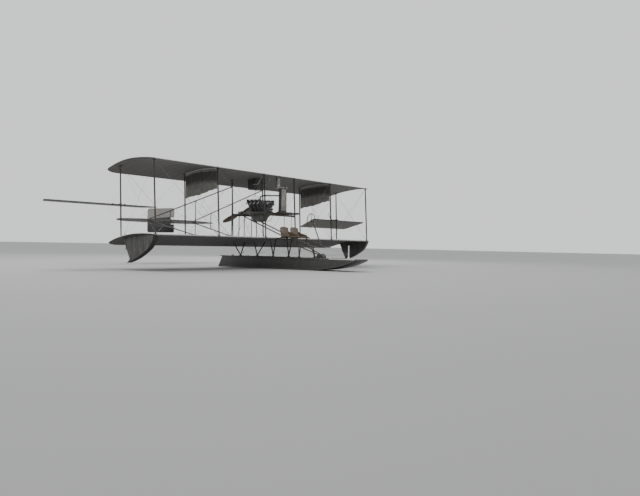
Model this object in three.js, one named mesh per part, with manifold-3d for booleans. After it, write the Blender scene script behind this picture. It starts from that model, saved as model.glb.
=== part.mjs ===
// A two-seat pusher biplane on one central float, with a scoop-shaped float under each wing tip.
// Millimetres. +X is forward, +Y is to port, +Z is up. The origin is on the flat bottom of the
// main float, on the centreline, below the foot of the front struts.
import * as THREE from "three";
import { mergeVertices } from "three/addons/utils/BufferGeometryUtils.js";
import Module from "manifold-3d";

const wasm = await Module();
wasm.setup();

// Driving dimensions
const SEATED = 0.3; // gap between a piece and what carries it
const SIDES = { port: 1, starboard: -1 };
const STATIONS = { inner: 708, middle: 2655, outer: 4869 }; // distance of the struts from the centreline

const CHORD = 1850;
const WING_DROOP = 244; // how far the trailing edge is below the leading edge
const CAMBER = 110;
const SPAR_BACK = 100; // front spar behind the leading edge
const SPAR_SPACING = 1267;
const HALF_SPAN = 5090;
const TIP = {
  straight: 4900, // half length of the straight leading edge
  front: 1005, // outermost point behind the leading edge
  rear: 235, // where the raked side edge turns in, before the trailing edge
  rearY: 5040,
  corner: 4600, // half length of the straight trailing edge
};
const UPPER = { x: 0, z: 2750 }; // front spar, on the underside of the upper wing
const LOWER = { x: 100, z: 874 }; // front spar, on the underside of the lower wing
const SECTION = [
  // part of the chord from the leading edge, thickness there
  [0, 14],
  [0.02, 30],
  [0.06, 42],
  [0.14, 48],
  [0.26, 47],
  [0.38, 45],
  [0.5, 42],
  [0.62, 39],
  [0.74, 34],
  [0.86, 24],
  [0.94, 15],
  [1, 7],
].map(([part, thick]) => ({ part, thick }));

const STRUT = { chord: 50, width: 28, sides: 12 };
const CURTAIN = { thick: 6, frontDepth: 560, rearDepth: 700 };

const AILERON = { hingeX: -1300, z: 1660, inner: 3600, outer: 6950, rake: 400, chord: 740, thick: 30 };
const PORT_AILERON_DROOP = 24; // degrees, trailing edge down

const DECK_Z = 350;
const FLOAT = { half: 420, stern: -2060, sternDeck: -1880, flatEnd: 1250, bow: 3000, bowZ: 300 };
const TIP_FLOAT = { y: STATIONS.outer, half: 70, lip: 10, sheet: 14 };

const CRANK = { z: 1660, rear: -1060, front: -380 };
const CYLINDER = { radius: 56, fins: 4, reach: 505, pitch: 150, banks: 40 };
const BEARER = { y: 170, low: 1610, high: 1670, width: 50, rear: -1238, front: 620 };
BEARER.edge = BEARER.y + BEARER.width / 2; // distance of a bearer's outer side from the centreline
const PROPELLER = { x: -1520, radius: 870, rest: 19.5 };

const TAIL = { z: 1435, front: -4350, rear: -5520, tipX: -4800, half: 2120, thick: 36, set: 4 };
const ELEVATOR_HINGE_X = -4860;
const RUDDER = { hingeX: -4740, front: -4775, rear: -5900, low: 1045, high: 1885, thick: 24, post: 15 };
const NOSE = { x: -4545, low: 1328, high: 1561 }; // the rudder reaches ahead of its post below and above these
const BOOM = { radius: 17, sides: 8, joinX: -4640, joinY: 1000 };

const RAIL = { z: 670, y: 309, radius: 16, rear: 130, front: 1620 };
const BAR = { radius: 14, sides: 8 }; // cross bars, with a flat side on top
const BAR_FLAT = BAR.radius * Math.cos(Math.PI / BAR.sides);
const SEAT = { y: 240, x: 640, z: 960, width: 400, depth: 400, back: 300 };
const WHEEL = { x: 1220, z: 1430, radius: 200, rim: 12 };

// Shapes
const manifoldOf = (geometry) => {
  const bare = geometry.index ? geometry.toNonIndexed() : geometry.clone();
  const positions = new THREE.BufferGeometry().setAttribute("position", bare.getAttribute("position"));
  const merged = mergeVertices(positions, 1e-3);
  return new wasm.Manifold(
    new wasm.Mesh({
      numProp: 3,
      vertProperties: merged.attributes.position.array,
      triVerts: new Uint32Array(merged.index.array),
    }),
  );
};

const geometryOf = (solid) => {
  const mesh = solid.getMesh();
  const geometry = new THREE.BufferGeometry();
  geometry.setAttribute("position", new THREE.BufferAttribute(new Float32Array(mesh.vertProperties), 3));
  geometry.setIndex(new THREE.BufferAttribute(new Uint32Array(mesh.triVerts), 1));
  geometry.computeVertexNormals();
  return geometry;
};

const join = (...solids) => solids.reduce((whole, piece) => whole.add(piece));

// Cuts the neighbour out of a piece that is pressed against it, and leaves the seated gap in each
// of the given directions.
const seat = (piece, neighbour, ...directions) =>
  directions.reduce(
    (left, d) => left.subtract(neighbour.translate(d.map((part) => part * SEATED))),
    piece,
  );

const shapeOf = (points) => new THREE.Shape(points.map(([a, b]) => new THREE.Vector2(a, b)));

const extruded = (shape, depth, curveSegments = 8) =>
  new THREE.ExtrudeGeometry(shape, { depth, bevelEnabled: false, curveSegments });

// An outline in X and Z, carried along Y
const slabAlongY = (shape, from, to, curveSegments) =>
  manifoldOf(extruded(shape, to - from, curveSegments).rotateX(Math.PI / 2).translate(0, to, 0));

// An outline in X and Y, carried along Z
const slabAlongZ = (shape, from, to, curveSegments) =>
  manifoldOf(extruded(shape, to - from, curveSegments).translate(0, 0, from));

const block = (x, y, z) =>
  manifoldOf(
    new THREE.BoxGeometry(x[1] - x[0], y[1] - y[0], z[1] - z[0]).translate(
      (x[0] + x[1]) / 2,
      (y[0] + y[1]) / 2,
      (z[0] + z[1]) / 2,
    ),
  );

// An outline carried straight from one point to another, its first axis turned towards the hint
const prism = (shape, from, to, hint = [1, 0, 0]) => {
  const start = new THREE.Vector3(...from);
  const along = new THREE.Vector3(...to).sub(start);
  const length = along.length();
  along.normalize();
  const first = new THREE.Vector3(...hint).projectOnPlane(along).normalize();
  const second = along.clone().cross(first);
  const place = new THREE.Matrix4().makeBasis(first, second, along).setPosition(start);
  return manifoldOf(extruded(shape, length).applyMatrix4(place));
};

const ovalShape = (a, b, sides) =>
  shapeOf(
    Array.from({ length: sides }, (_, i) => {
      const turn = ((i + 0.5) * 2 * Math.PI) / sides;
      return [a * Math.cos(turn), b * Math.sin(turn)];
    }),
  );

const rectShape = (a, b) =>
  shapeOf([
    [-a / 2, -b / 2],
    [a / 2, -b / 2],
    [a / 2, b / 2],
    [-a / 2, b / 2],
  ]);

const rod = (from, to, radius, sides = 8) => {
  const alongX = Math.abs(to[0] - from[0]) > Math.abs(to[2] - from[2]);
  return prism(ovalShape(radius, radius, sides), from, to, alongX ? [0, 0, 1] : [1, 0, 0]);
};

const beam = (from, to, width, height, hint) => prism(rectShape(width, height), from, to, hint);

const bentTube = (points, radius, steps, sides = 8) => {
  const path = new THREE.CatmullRomCurve3(points.map((p) => new THREE.Vector3(...p)));
  return manifoldOf(
    new THREE.ExtrudeGeometry(ovalShape(radius, radius, sides), {
      extrudePath: path,
      steps,
      curveSegments: 1,
    }),
  );
};

const degrees = (angle) => (angle * Math.PI) / 180;

const turned = (solid, centre, axis, angle) => {
  const place = new THREE.Matrix4()
    .makeTranslation(...centre)
    .multiply(new THREE.Matrix4().makeRotationAxis(new THREE.Vector3(...axis), degrees(angle)))
    .multiply(new THREE.Matrix4().makeTranslation(...centre.map((part) => -part)));
  return manifoldOf(geometryOf(solid).applyMatrix4(place));
};

// A ring about an axis along Y or Z, which turns on a pin of the given radius
const ring = (centre, axis, pin, width) => {
  const outer = axis === "y" ? [0, width / 2, 0] : [0, 0, width / 2];
  const low = centre.map((part, i) => part - outer[i]);
  const high = centre.map((part, i) => part + outer[i]);
  const wide = centre.map((part, i) => part - outer[i] * 2);
  const far = centre.map((part, i) => part + outer[i] * 2);
  return rod(low, high, pin + 12, 16).subtract(rod(wide, far, pin + 1, 16));
};

// Wing surfaces. The place is the front spar on the wing's underside.
const undersideAt = (wing, x) => {
  const part = (wing.x + SPAR_BACK - x) / CHORD;
  const spar = SPAR_BACK / CHORD;
  const height = (t) => -WING_DROOP * t + 4 * CAMBER * t * (1 - t);
  return wing.z + height(part) - height(spar);
};

const thicknessAt = (wing, x) => {
  const part = (wing.x + SPAR_BACK - x) / CHORD;
  const next = SECTION.findIndex((row) => row.part >= part);
  const [a, b] = [SECTION[next - 1], SECTION[next]];
  return a.thick + ((b.thick - a.thick) * (part - a.part)) / (b.part - a.part);
};

const topAt = (wing, x) => undersideAt(wing, x) + thicknessAt(wing, x);

const wingPlan = (wing) => {
  const front = wing.x + SPAR_BACK + 5;
  const rear = wing.x + SPAR_BACK - CHORD - 5;
  const tip = front - TIP.front;
  const turn = rear + TIP.rear;
  const plan = new THREE.Shape();
  plan.moveTo(front, -TIP.straight);
  plan.lineTo(front, TIP.straight);
  plan.bezierCurveTo(front - 450, TIP.straight + 40, tip + 400, HALF_SPAN, tip, HALF_SPAN);
  plan.lineTo(turn, TIP.rearY);
  plan.bezierCurveTo(turn - 160, TIP.rearY - 20, rear, TIP.corner + 160, rear, TIP.corner);
  plan.lineTo(rear, -TIP.corner);
  plan.bezierCurveTo(rear, -TIP.corner - 160, turn - 160, -TIP.rearY + 20, turn, -TIP.rearY);
  plan.lineTo(tip, -HALF_SPAN);
  plan.bezierCurveTo(tip + 400, -HALF_SPAN, front - 450, -TIP.straight - 40, front, -TIP.straight);
  return plan;
};

const wingSolid = (wing) => {
  const xAt = (row) => wing.x + SPAR_BACK - row.part * CHORD;
  const below = SECTION.map((row) => [xAt(row), undersideAt(wing, xAt(row))]);
  const above = SECTION.map((row) => [xAt(row), undersideAt(wing, xAt(row)) + row.thick]);
  const section = shapeOf([...below, ...above.reverse()]);
  const body = slabAlongY(section, -HALF_SPAN - 50, HALF_SPAN + 50);
  return body.intersect(slabAlongZ(wingPlan(wing), wing.z - 400, wing.z + 200, 10));
};

const upperWing = wingSolid(UPPER);
const lowerWing = wingSolid(LOWER);

const INTO_WING = 18; // how far a piece is drawn into a wing before the wing is cut out of it
const seatUnder = (piece, wing) => seat(piece, wing, [0, 0, -1]);
const seatOver = (piece, wing) => seat(piece, wing, [0, 0, 1]);

// Struts between the wings
const FRONT = { top: 0, foot: 105 };
const REAR = { top: -SPAR_SPACING, foot: -1187 };
const lineAt = (row, z) => {
  const low = topAt(LOWER, row.foot);
  const high = undersideAt(UPPER, row.top);
  return row.foot + ((row.top - row.foot) * (z - low)) / (high - low);
};
const strutShape = ovalShape(STRUT.chord / 2, STRUT.width / 2, STRUT.sides);
const bareStrut = (row, y) => {
  const low = topAt(LOWER, row.foot) - INTO_WING;
  const high = undersideAt(UPPER, row.top) + INTO_WING;
  return prism(strutShape, [lineAt(row, low), y, low], [lineAt(row, high), y, high]);
};
const seatedStrut = (row, y) => seatOver(seatUnder(bareStrut(row, y), upperWing), lowerWing);

// The hinge tube of an aileron, carried by two arms behind the outer rear strut
const HINGE_TUBE = { radius: 10, half: 230 };
const strutWithHinge = (y) => {
  const x = lineAt(REAR, AILERON.z);
  const [near, far] = [-1, 1].map((end) => [AILERON.hingeX, y + end * HINGE_TUBE.half, AILERON.z]);
  return join(
    seatedStrut(REAR, y),
    rod(near, far, HINGE_TUBE.radius, 16),
    block([AILERON.hingeX - 4, x], [y - 9, y + 9], [AILERON.z - 14, AILERON.z + 14]),
  );
};

const struts = {};
for (const [side, sign] of Object.entries(SIDES)) {
  for (const [station, y] of Object.entries(STATIONS)) {
    struts[`front_strut_${side}_${station}`] = seatedStrut(FRONT, sign * y);
    struts[`rear_strut_${side}_${station}`] =
      station === "outer" ? strutWithHinge(sign * y) : seatedStrut(REAR, sign * y);
  }
}

// Side curtains, which hang from the upper wing between the middle struts
const curtain = (side, sign) => {
  const y = sign * STATIONS.middle;
  const stops = [0, 0.2, 0.4, 0.6, 0.8, 1];
  const top = stops.map((part) => {
    const x = FRONT.top + (REAR.top - FRONT.top) * part;
    return [x, undersideAt(UPPER, x) + 12];
  });
  const frontLow = UPPER.z - CURTAIN.frontDepth;
  const rearLow = undersideAt(UPPER, REAR.top) - CURTAIN.rearDepth;
  const shape = shapeOf([...top, [lineAt(REAR, rearLow), rearLow], [lineAt(FRONT, frontLow), frontLow]]);
  const sheet = slabAlongY(shape, y - CURTAIN.thick / 2, y + CURTAIN.thick / 2);
  const hung = seatUnder(sheet, upperWing);
  const clear = seat(hung, bareStrut(FRONT, y), [0, 0, 0], [-1, 0, 0]);
  return seat(clear, bareStrut(REAR, y), [0, 0, 0], [1, 0, 0]);
};

// Ailerons, hinged between the wings on the outer rear struts. The horn swings past the strut's inner side.
const HORN = { back: 60, beside: 120, reach: 330 };
const aileron = (sign, droop) => {
  const front = AILERON.hingeX - 24;
  const rear = AILERON.hingeX - AILERON.chord;
  const plan = shapeOf([
    [front, AILERON.inner],
    [front, AILERON.outer - 50],
    [front - 60, AILERON.outer],
    [rear + 70, AILERON.outer - AILERON.rake + 40],
    [rear, AILERON.outer - AILERON.rake - 70],
    [rear, AILERON.inner + 60],
    [rear + 60, AILERON.inner],
  ]);
  const half = AILERON.thick / 2;
  const section = shapeOf([
    [front, -half * 0.8],
    [front, half * 0.8],
    [front - 160, half],
    [rear, 4],
    [rear, -4],
    [front - 160, -half],
  ]);
  const body = slabAlongZ(plan, AILERON.z - 60, AILERON.z + 60).intersect(
    manifoldOf(
      extruded(section, AILERON.outer - AILERON.inner + 20)
        .rotateX(Math.PI / 2)
        .translate(0, AILERON.outer + 10, AILERON.z),
    ),
  );
  const lugs = [-1, 1].map((end) => {
    const y = STATIONS.outer + end * (HINGE_TUBE.half - 40);
    const eye = ring([AILERON.hingeX, y, AILERON.z], "y", HINGE_TUBE.radius, 30);
    const arm = block([front - 6, AILERON.hingeX - 15], [y - 15, y + 15], [AILERON.z - 10, AILERON.z + 10]);
    return eye.add(arm);
  });
  const hornY = STATIONS.outer - HORN.beside;
  const horn = beam(
    [front - HORN.back, hornY, AILERON.z - HORN.reach],
    [front - HORN.back, hornY, AILERON.z + HORN.reach],
    26,
    12,
  );
  const whole = join(body, ...lugs, horn);
  const sided = sign > 0 ? whole : whole.mirror([0, 1, 0]);
  return turned(sided, [AILERON.hingeX, 0, AILERON.z], [0, 1, 0], -droop);
};

// Floats
const mainFloat = () => {
  const profile = new THREE.Shape();
  profile.moveTo(FLOAT.stern, 0);
  profile.lineTo(FLOAT.flatEnd, 0);
  profile.bezierCurveTo(
    FLOAT.flatEnd + 800,
    0,
    FLOAT.bow - 420,
    FLOAT.bowZ - 170,
    FLOAT.bow,
    FLOAT.bowZ,
  );
  profile.lineTo(FLOAT.bow - 20, DECK_Z);
  profile.lineTo(FLOAT.sternDeck, DECK_Z);
  const hull = slabAlongY(profile, -FLOAT.half, FLOAT.half, 12);
  const plan = new THREE.Shape();
  const [half, bow, taper] = [FLOAT.half, FLOAT.bow, FLOAT.flatEnd + 400];
  plan.moveTo(FLOAT.stern - 10, -half - 5);
  plan.lineTo(taper, -half - 5);
  plan.bezierCurveTo(bow - 700, -half, bow - 60, -half + 60, bow + 5, -half + 130);
  plan.lineTo(bow + 5, half - 130);
  plan.bezierCurveTo(bow - 60, half - 60, bow - 700, half, taper, half + 5);
  plan.lineTo(FLOAT.stern - 10, half + 5);
  return hull.intersect(slabAlongZ(plan, -50, DECK_Z + 50, 8));
};

const tipFloat = (sign) => {
  const y = sign * TIP_FLOAT.y;
  const run = [
    // bottom of the scoop from the lip forward
    [-830, 205],
    [-620, 268],
    [-420, 355],
    [-240, 455],
    [-80, 560],
    [25, 670],
    [92, 780],
    [122, 878],
  ];
  const top = [80, -100, -400, -700, -1030].map((x) => [x, undersideAt(LOWER, x) + 10]);
  const body = slabAlongY(
    shapeOf([...run, ...top, [-760, 285], [-812, 220]]),
    y - TIP_FLOAT.half,
    y + TIP_FLOAT.half,
  );
  const under = run.map(([x, z]) => [x + 4, z - TIP_FLOAT.sheet]).reverse();
  const sheet = slabAlongY(
    shapeOf([...run, ...under.slice(0, -1), [-846, 194]]),
    y - TIP_FLOAT.half - TIP_FLOAT.lip,
    y + TIP_FLOAT.half + TIP_FLOAT.lip,
  );
  return seatUnder(body.add(sheet), lowerWing);
};

// Struts from the float's deck: the outer and the inner leg of each foot
const FLOAT_STRUTS = [
  // station, x, foot y, outer top y, inner top y
  ["rear", -1150, 390, 745, 215],
  ["middle", 120, 370, 520, 265],
].map(([station, x, foot, outer, inner]) => ({ station, x, foot, outer, inner }));
const FLOAT_LEG = { chord: 44, width: 28 };
const legShape = ovalShape(FLOAT_LEG.chord / 2, FLOAT_LEG.width / 2, 10);
const floatStrut = (row, sign) => {
  const top = undersideAt(LOWER, row.x) + INTO_WING;
  const foot = [row.x, sign * row.foot, DECK_Z + 4];
  const legs = [row.outer, row.inner].map((y) => prism(legShape, foot, [row.x, sign * y, top]));
  const shoe = block(
    [row.x - 45, row.x + 45],
    [sign * row.foot - 30, sign * row.foot + 30],
    [DECK_Z + SEATED, DECK_Z + 22],
  );
  const below = block([row.x - 80, row.x + 80], [-900, 900], [DECK_Z - 60, DECK_Z + SEATED]);
  return seatUnder(join(...legs, shoe).subtract(below), lowerWing);
};

// Rails, bars and front legs that carry the seats ahead of the lower wing
const FRONT_LEG = { x: 1080, y: 380 };
const SEAT_BARS = { rear: 480, front: 820 };
const seatBar = (x) => rod([x, -480, SEAT.z - 26], [x, 480, SEAT.z - 26], BAR.radius, BAR.sides);
const footFrame = () => {
  const rails = [-1, 1].flatMap((sign) => {
    const y = sign * RAIL.y;
    const foot = sign * FRONT_LEG.y;
    return [
      rod([RAIL.rear, y, RAIL.z], [RAIL.front, y, RAIL.z], RAIL.radius),
      rod([FRONT_LEG.x, y, RAIL.z], [FRONT_LEG.x + 20, foot, DECK_Z + 10], RAIL.radius),
      rod([FRONT_LEG.x - 60, y, RAIL.z], [FRONT_LEG.x + 10, foot, DECK_Z + 10], RAIL.radius),
      block([FRONT_LEG.x - 40, FRONT_LEG.x + 70], [foot - 32, foot + 32], [DECK_Z + SEATED, DECK_Z + 22]),
      rod([SEAT_BARS.rear, y, RAIL.z], [SEAT_BARS.rear, y, SEAT.z - 26], 13),
      rod([SEAT_BARS.front, y, RAIL.z], [SEAT_BARS.front, y, SEAT.z - 26], 13),
      rod([RAIL.front - 60, y, RAIL.z], [SEAT_BARS.front, y, SEAT.z - 60], 13),
      rod([470, y, SEAT.z - 30], [180, y, 895], 13),
    ];
  });
  const bars = [360, 950, RAIL.front - 30].map((x) => {
    const half = x > 1500 ? 470 : RAIL.y + 10;
    return rod([x, -half, RAIL.z], [x, half, RAIL.z], BAR.radius, BAR.sides);
  });
  const seatBars = Object.values(SEAT_BARS).map(seatBar);
  const diagonals = [-1, 1].map((sign) =>
    rod([950, sign * 185, RAIL.z], [FOOT_BLOCK.x - 25, sign * 60, DECK_Z + 90], 15),
  );
  const whole = join(...rails, ...bars, ...seatBars, ...diagonals);
  const cleared = whole
    .subtract(block([900, 1300], [-600, 600], [DECK_Z - 60, DECK_Z + SEATED]))
    .subtract(footBlockSolid().translate([0, 0, SEATED]))
    .subtract(footBlockSolid().translate([-SEATED, 0, 0]));
  const onWing = seat(cleared, lowerWing, [0, 0, -1], [1, 0, 0]);
  const middle = FLOAT_STRUTS.find((row) => row.station === "middle");
  return [-1, 1].reduce((left, sign) => seat(left, floatStrut(middle, sign), [0, 0, 0], [1, 0, 0]), onWing);
};

const FOOT_BLOCK = { x: 1600, radius: 120, half: 90 };
const footBlockSolid = () => {
  const [near, far] = [-1, 1].map((end) => [FOOT_BLOCK.x, end * FOOT_BLOCK.half, DECK_Z]);
  const across = rod(near, far, FOOT_BLOCK.radius, 18);
  return across.subtract(block([1400, 1800], [-400, 400], [0, DECK_Z + SEATED]));
};

const seatSolid = (sign) => {
  const y = sign * SEAT.y;
  const x = SEAT.x;
  const half = SEAT.width / 2;
  const low = SEAT.z - 26 + BAR_FLAT + SEATED;
  const pan = block([x - SEAT.depth / 2, x + SEAT.depth / 2], [y - half, y + half], [low, low + 22]);
  const back = prism(
    rectShape(24, SEAT.width),
    [x - SEAT.depth / 2 + 12, y, low],
    [x - SEAT.depth / 2 - 50, y, low + SEAT.back],
  );
  const cheeks = [-1, 1].map((end) => {
    const shape = shapeOf([
      [x - SEAT.depth / 2 + 4, low + 10],
      [x + SEAT.depth / 2 - 60, low + 10],
      [x + SEAT.depth / 2 - 90, low + 70],
      [x - SEAT.depth / 2 - 10, low + 160],
    ]);
    const edge = y + end * (half - 8);
    return slabAlongY(shape, edge - 7, edge + 7);
  });
  return join(pan, back, ...cheeks);
};

// Control column with its hand wheel
const column = () => {
  const low = RAIL.z + BAR_FLAT + SEATED;
  const foot = [RAIL.front - 30, 0, low];
  const hub = [WHEEL.x + 45, 0, WHEEL.z];
  const shaft = rod(foot, hub, 17, 10).subtract(block([1400, 1700], [-60, 60], [low - 60, low]));
  const shoe = block([RAIL.front - 75, RAIL.front + 5], [-40, 40], [low, low + 26]);
  const hoop = new THREE.TorusGeometry(WHEEL.radius, WHEEL.rim, 8, 28).rotateY(Math.PI / 2);
  const rim = manifoldOf(hoop.translate(WHEEL.x, 0, WHEEL.z));
  const spokes = [90, 210, 330].map((angle) => {
    const reach = [
      WHEEL.x,
      WHEEL.radius * Math.cos(degrees(angle)),
      WHEEL.z + WHEEL.radius * Math.sin(degrees(angle)),
    ];
    return rod([WHEEL.x, 0, WHEEL.z], reach, 8, 6);
  });
  const boss = rod([WHEEL.x - 18, 0, WHEEL.z], [WHEEL.x + 60, 0, WHEEL.z], 30, 12);
  return join(shaft, shoe, rim, boss, ...spokes);
};

// Engine: crankcase, sump and two banks of ribbed cylinders
const engine = () => {
  const case_ = rod([CRANK.rear, 0, CRANK.z], [CRANK.front, 0, CRANK.z], 118, 14);
  const [footLow, footHigh] = [BEARER.high + SEATED, BEARER.high + 26];
  const feet = block([CRANK.rear + 60, CRANK.front - 60], [-215, 215], [footLow, footHigh]);
  const sump = slabAlongY(
    shapeOf([
      [CRANK.rear + 70, CRANK.z - 60],
      [CRANK.rear + 110, CRANK.z - 260],
      [CRANK.front - 180, CRANK.z - 260],
      [CRANK.front - 60, CRANK.z - 60],
    ]),
    -105,
    105,
  );
  const nose = rod([CRANK.front - 20, 0, CRANK.z + 10], [CRANK.front + 150, 0, CRANK.z + 10], 70, 12);
  const cylinders = [-1, 1].flatMap((bank) =>
    [0, 1, 2, 3].map((i) => {
      const x = CRANK.rear + 95 + i * CYLINDER.pitch + (bank > 0 ? 22 : 0);
      const lean = degrees(CYLINDER.banks) * bank;
      const at = (reach) => [x, Math.sin(lean) * reach, CRANK.z + Math.cos(lean) * reach];
      const barrel = rod(at(90), at(CYLINDER.reach), CYLINDER.radius - 8, 10);
      const fins = Array.from({ length: CYLINDER.fins }, (_, k) => {
        const low = 205 + k * 72;
        return rod(at(low), at(low + 34), CYLINDER.radius + 4, 10);
      });
      return join(barrel, ...fins);
    }),
  );
  const manifold = rod([CRANK.rear + 90, 0, CRANK.z + 300], [CRANK.front - 60, 0, CRANK.z + 300], 26, 8);
  const risers = [0, 1, 2].map((i) => {
    const x = CRANK.rear + 160 + i * 180;
    return rod([x, 0, CRANK.z + 90], [x, 0, CRANK.z + 300], 20, 8);
  });
  return join(case_, feet, sump, nose, manifold, ...risers, ...cylinders);
};

// Engine bed: two bearers on cross beams between the inner struts
const BED_BEAM = { z: 1590, width: 46, height: 56 };
const engineBed = () => {
  const bearers = [-1, 1].map((sign) =>
    block(
      [BEARER.rear, BEARER.front],
      [sign * BEARER.y - BEARER.width / 2, sign * BEARER.y + BEARER.width / 2],
      [BEARER.low, BEARER.high],
    ),
  );
  const beams = [REAR, FRONT].map((row) => {
    const [x, half] = [lineAt(row, BED_BEAM.z), STATIONS.inner];
    const [near, far] = [-half, half].map((y) => [x, y, BED_BEAM.z]);
    return beam(near, far, BED_BEAM.width, BED_BEAM.height, [1, 0, 0]);
  });
  const whole = join(...bearers, ...beams);
  return [-1, 1].reduce((left, sign) => {
    const rear = bareStrut(REAR, sign * STATIONS.inner);
    const front = bareStrut(FRONT, sign * STATIONS.inner);
    return seat(seat(left, rear, [0, 0, 0], [0, -sign, 0]), front, [0, 0, 0], [0, -sign, 0]);
  }, whole);
};

// The rear cross beam of the engine bed stands on four posts. A brace runs from the head of each
// inner post forward and down to the rear seat bar.
const BED_POST = { x: lineAt(REAR, BED_BEAM.z), inner: BEARER.y, outer: 410, radius: 14, sides: 8 };
const BED_POST_FLAT = BED_POST.radius * Math.cos(Math.PI / BED_POST.sides);
const bedPost = (y) => {
  const low = topAt(LOWER, BED_POST.x) - 10;
  const high = BED_BEAM.z - BED_BEAM.height / 2 - SEATED;
  return seatOver(rod([BED_POST.x, y, low], [BED_POST.x, y, high], BED_POST.radius, BED_POST.sides), lowerWing);
};
const BRACE = { headZ: 1546, footX: 495, footZ: 896, radius: 18 };
const engineBrace = (sign) => {
  const y = sign * BED_POST.inner;
  const bar = rod([BED_POST.x, y, BRACE.headZ], [BRACE.footX, y, BRACE.footZ], BRACE.radius);
  const cut = BED_POST.x + BED_POST_FLAT + SEATED;
  const front = bar.subtract(block([cut - 100, cut], [y - 50, y + 50], [BRACE.headZ - 100, BRACE.headZ + 100]));
  return seat(front, seatBar(SEAT_BARS.rear), [0, 0, 0], [0, 0, -1]);
};

// Propeller: two twisted blades on a hub and shaft
const propeller = () => {
  const blade = new THREE.BoxGeometry(2, PROPELLER.radius - 40, 2, 2, 10, 2).translate(
    0,
    (PROPELLER.radius + 40) / 2,
    0,
  );
  const position = blade.getAttribute("position");
  for (let i = 0; i < position.count; i += 1) {
    const r = position.getY(i);
    const part = r / PROPELLER.radius;
    const width = 40 + 160 * Math.sin(Math.PI * Math.min(1, part * 0.86 + 0.02)) ** 1.2 * (1 - 0.25 * part);
    const thick = 46 * (1 - part) + 12;
    const pitch = Math.atan2(0.62, 2 * Math.PI * Math.max(part, 0.12));
    const across = position.getX(i) * width * 0.5;
    const through = position.getZ(i) * thick * 0.5 * (1 - 0.7 * Math.abs(position.getX(i)));
    position.setXYZ(
      i,
      across * Math.sin(pitch) + through * Math.cos(pitch),
      r,
      through * Math.sin(pitch) - across * Math.cos(pitch),
    );
  }
  const one = manifoldOf(blade);
  const other = turned(one, [0, 0, 0], [1, 0, 0], 180);
  const hub = rod([-62, 0, 0], [62, 0, 0], 85, 18);
  const plates = rod([-78, 0, 0], [78, 0, 0], 62, 14);
  const shaft = rod([40, 0, 0], [CRANK.rear - SEATED - PROPELLER.x, 0, 0], 30, 12);
  const whole = join(one, other, hub, plates, shaft);
  return turned(whole, [0, 0, 0], [1, 0, 0], PROPELLER.rest).translate([PROPELLER.x, 0, CRANK.z]);
};

// Radiator on the bearers with its header tank, the water pipe, and the fuel tank under the upper wing
const RADIATOR = { x: [92, 187], half: 120, low: 1670, high: 2440 };
const HEADER = { x: -55, radius: 64, low: 2396 };
const radiator = () => {
  const core = block(RADIATOR.x, [-RADIATOR.half, RADIATOR.half], [RADIATOR.low + 60, RADIATOR.high - 50]);
  const foot = block(
    [RADIATOR.x[0] - 15, RADIATOR.x[1] + 15],
    [-205, 205],
    [RADIATOR.low + SEATED, RADIATOR.low + 61],
  );
  const head = block(
    [RADIATOR.x[0] - 18, RADIATOR.x[1] + 18],
    [-RADIATOR.half - 18, RADIATOR.half + 18],
    [RADIATOR.high - 51, RADIATOR.high],
  );
  const wing = undersideAt(UPPER, HEADER.x) + INTO_WING;
  const header = rod([HEADER.x, 0, HEADER.low], [HEADER.x, 0, wing], HEADER.radius, 20);
  const neck = block([HEADER.x, RADIATOR.x[0]], [-40, 40], [HEADER.low + 4, RADIATOR.high - 10]);
  return seatUnder(join(core, foot, head, neck, header), upperWing);
};

const waterPipe = () => {
  const end = RADIATOR.x[0] - SEATED;
  const tube = bentTube(
    [
      [-760, 0, 2155],
      [-640, 0, 2195],
      [-300, 0, 2190],
      [end + 60, 0, 2180],
    ],
    20,
    14,
  );
  const drop = rod([-740, 0, CRANK.z + 326 + SEATED], [-740, 0, 2170], 20);
  return join(tube, drop).subtract(block([end, end + 200], [-60, 60], [2000, 2400]));
};

const fuelTank = () => {
  const shape = new THREE.Shape();
  const [rear, front, low] = [-1110, -790, 2380];
  shape.moveTo(rear + 40, low);
  shape.lineTo(front - 40, low);
  shape.quadraticCurveTo(front, low, front, low + 60);
  shape.lineTo(front, undersideAt(UPPER, front) + 14);
  shape.lineTo(rear, undersideAt(UPPER, rear) + 14);
  shape.lineTo(rear, low + 60);
  shape.quadraticCurveTo(rear, low, rear + 40, low);
  return seatUnder(slabAlongY(shape, -175, 175, 4), upperWing);
};

// Tail: fixed tail plane, elevators, rudder post and rudder
const tailSection = (front, rear, thickFront, thickRear) =>
  shapeOf([
    [front, -thickFront / 2],
    [front, thickFront / 2],
    [rear, thickRear / 2],
    [rear, -thickRear / 2],
  ]);
const tailTurn = (solid) => turned(solid, [ELEVATOR_HINGE_X, 0, TAIL.z], [0, 1, 0], -TAIL.set);
const FIXED_REAR = ELEVATOR_HINGE_X + 35;
const HINGE_PINS = [430, 1500];

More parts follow.
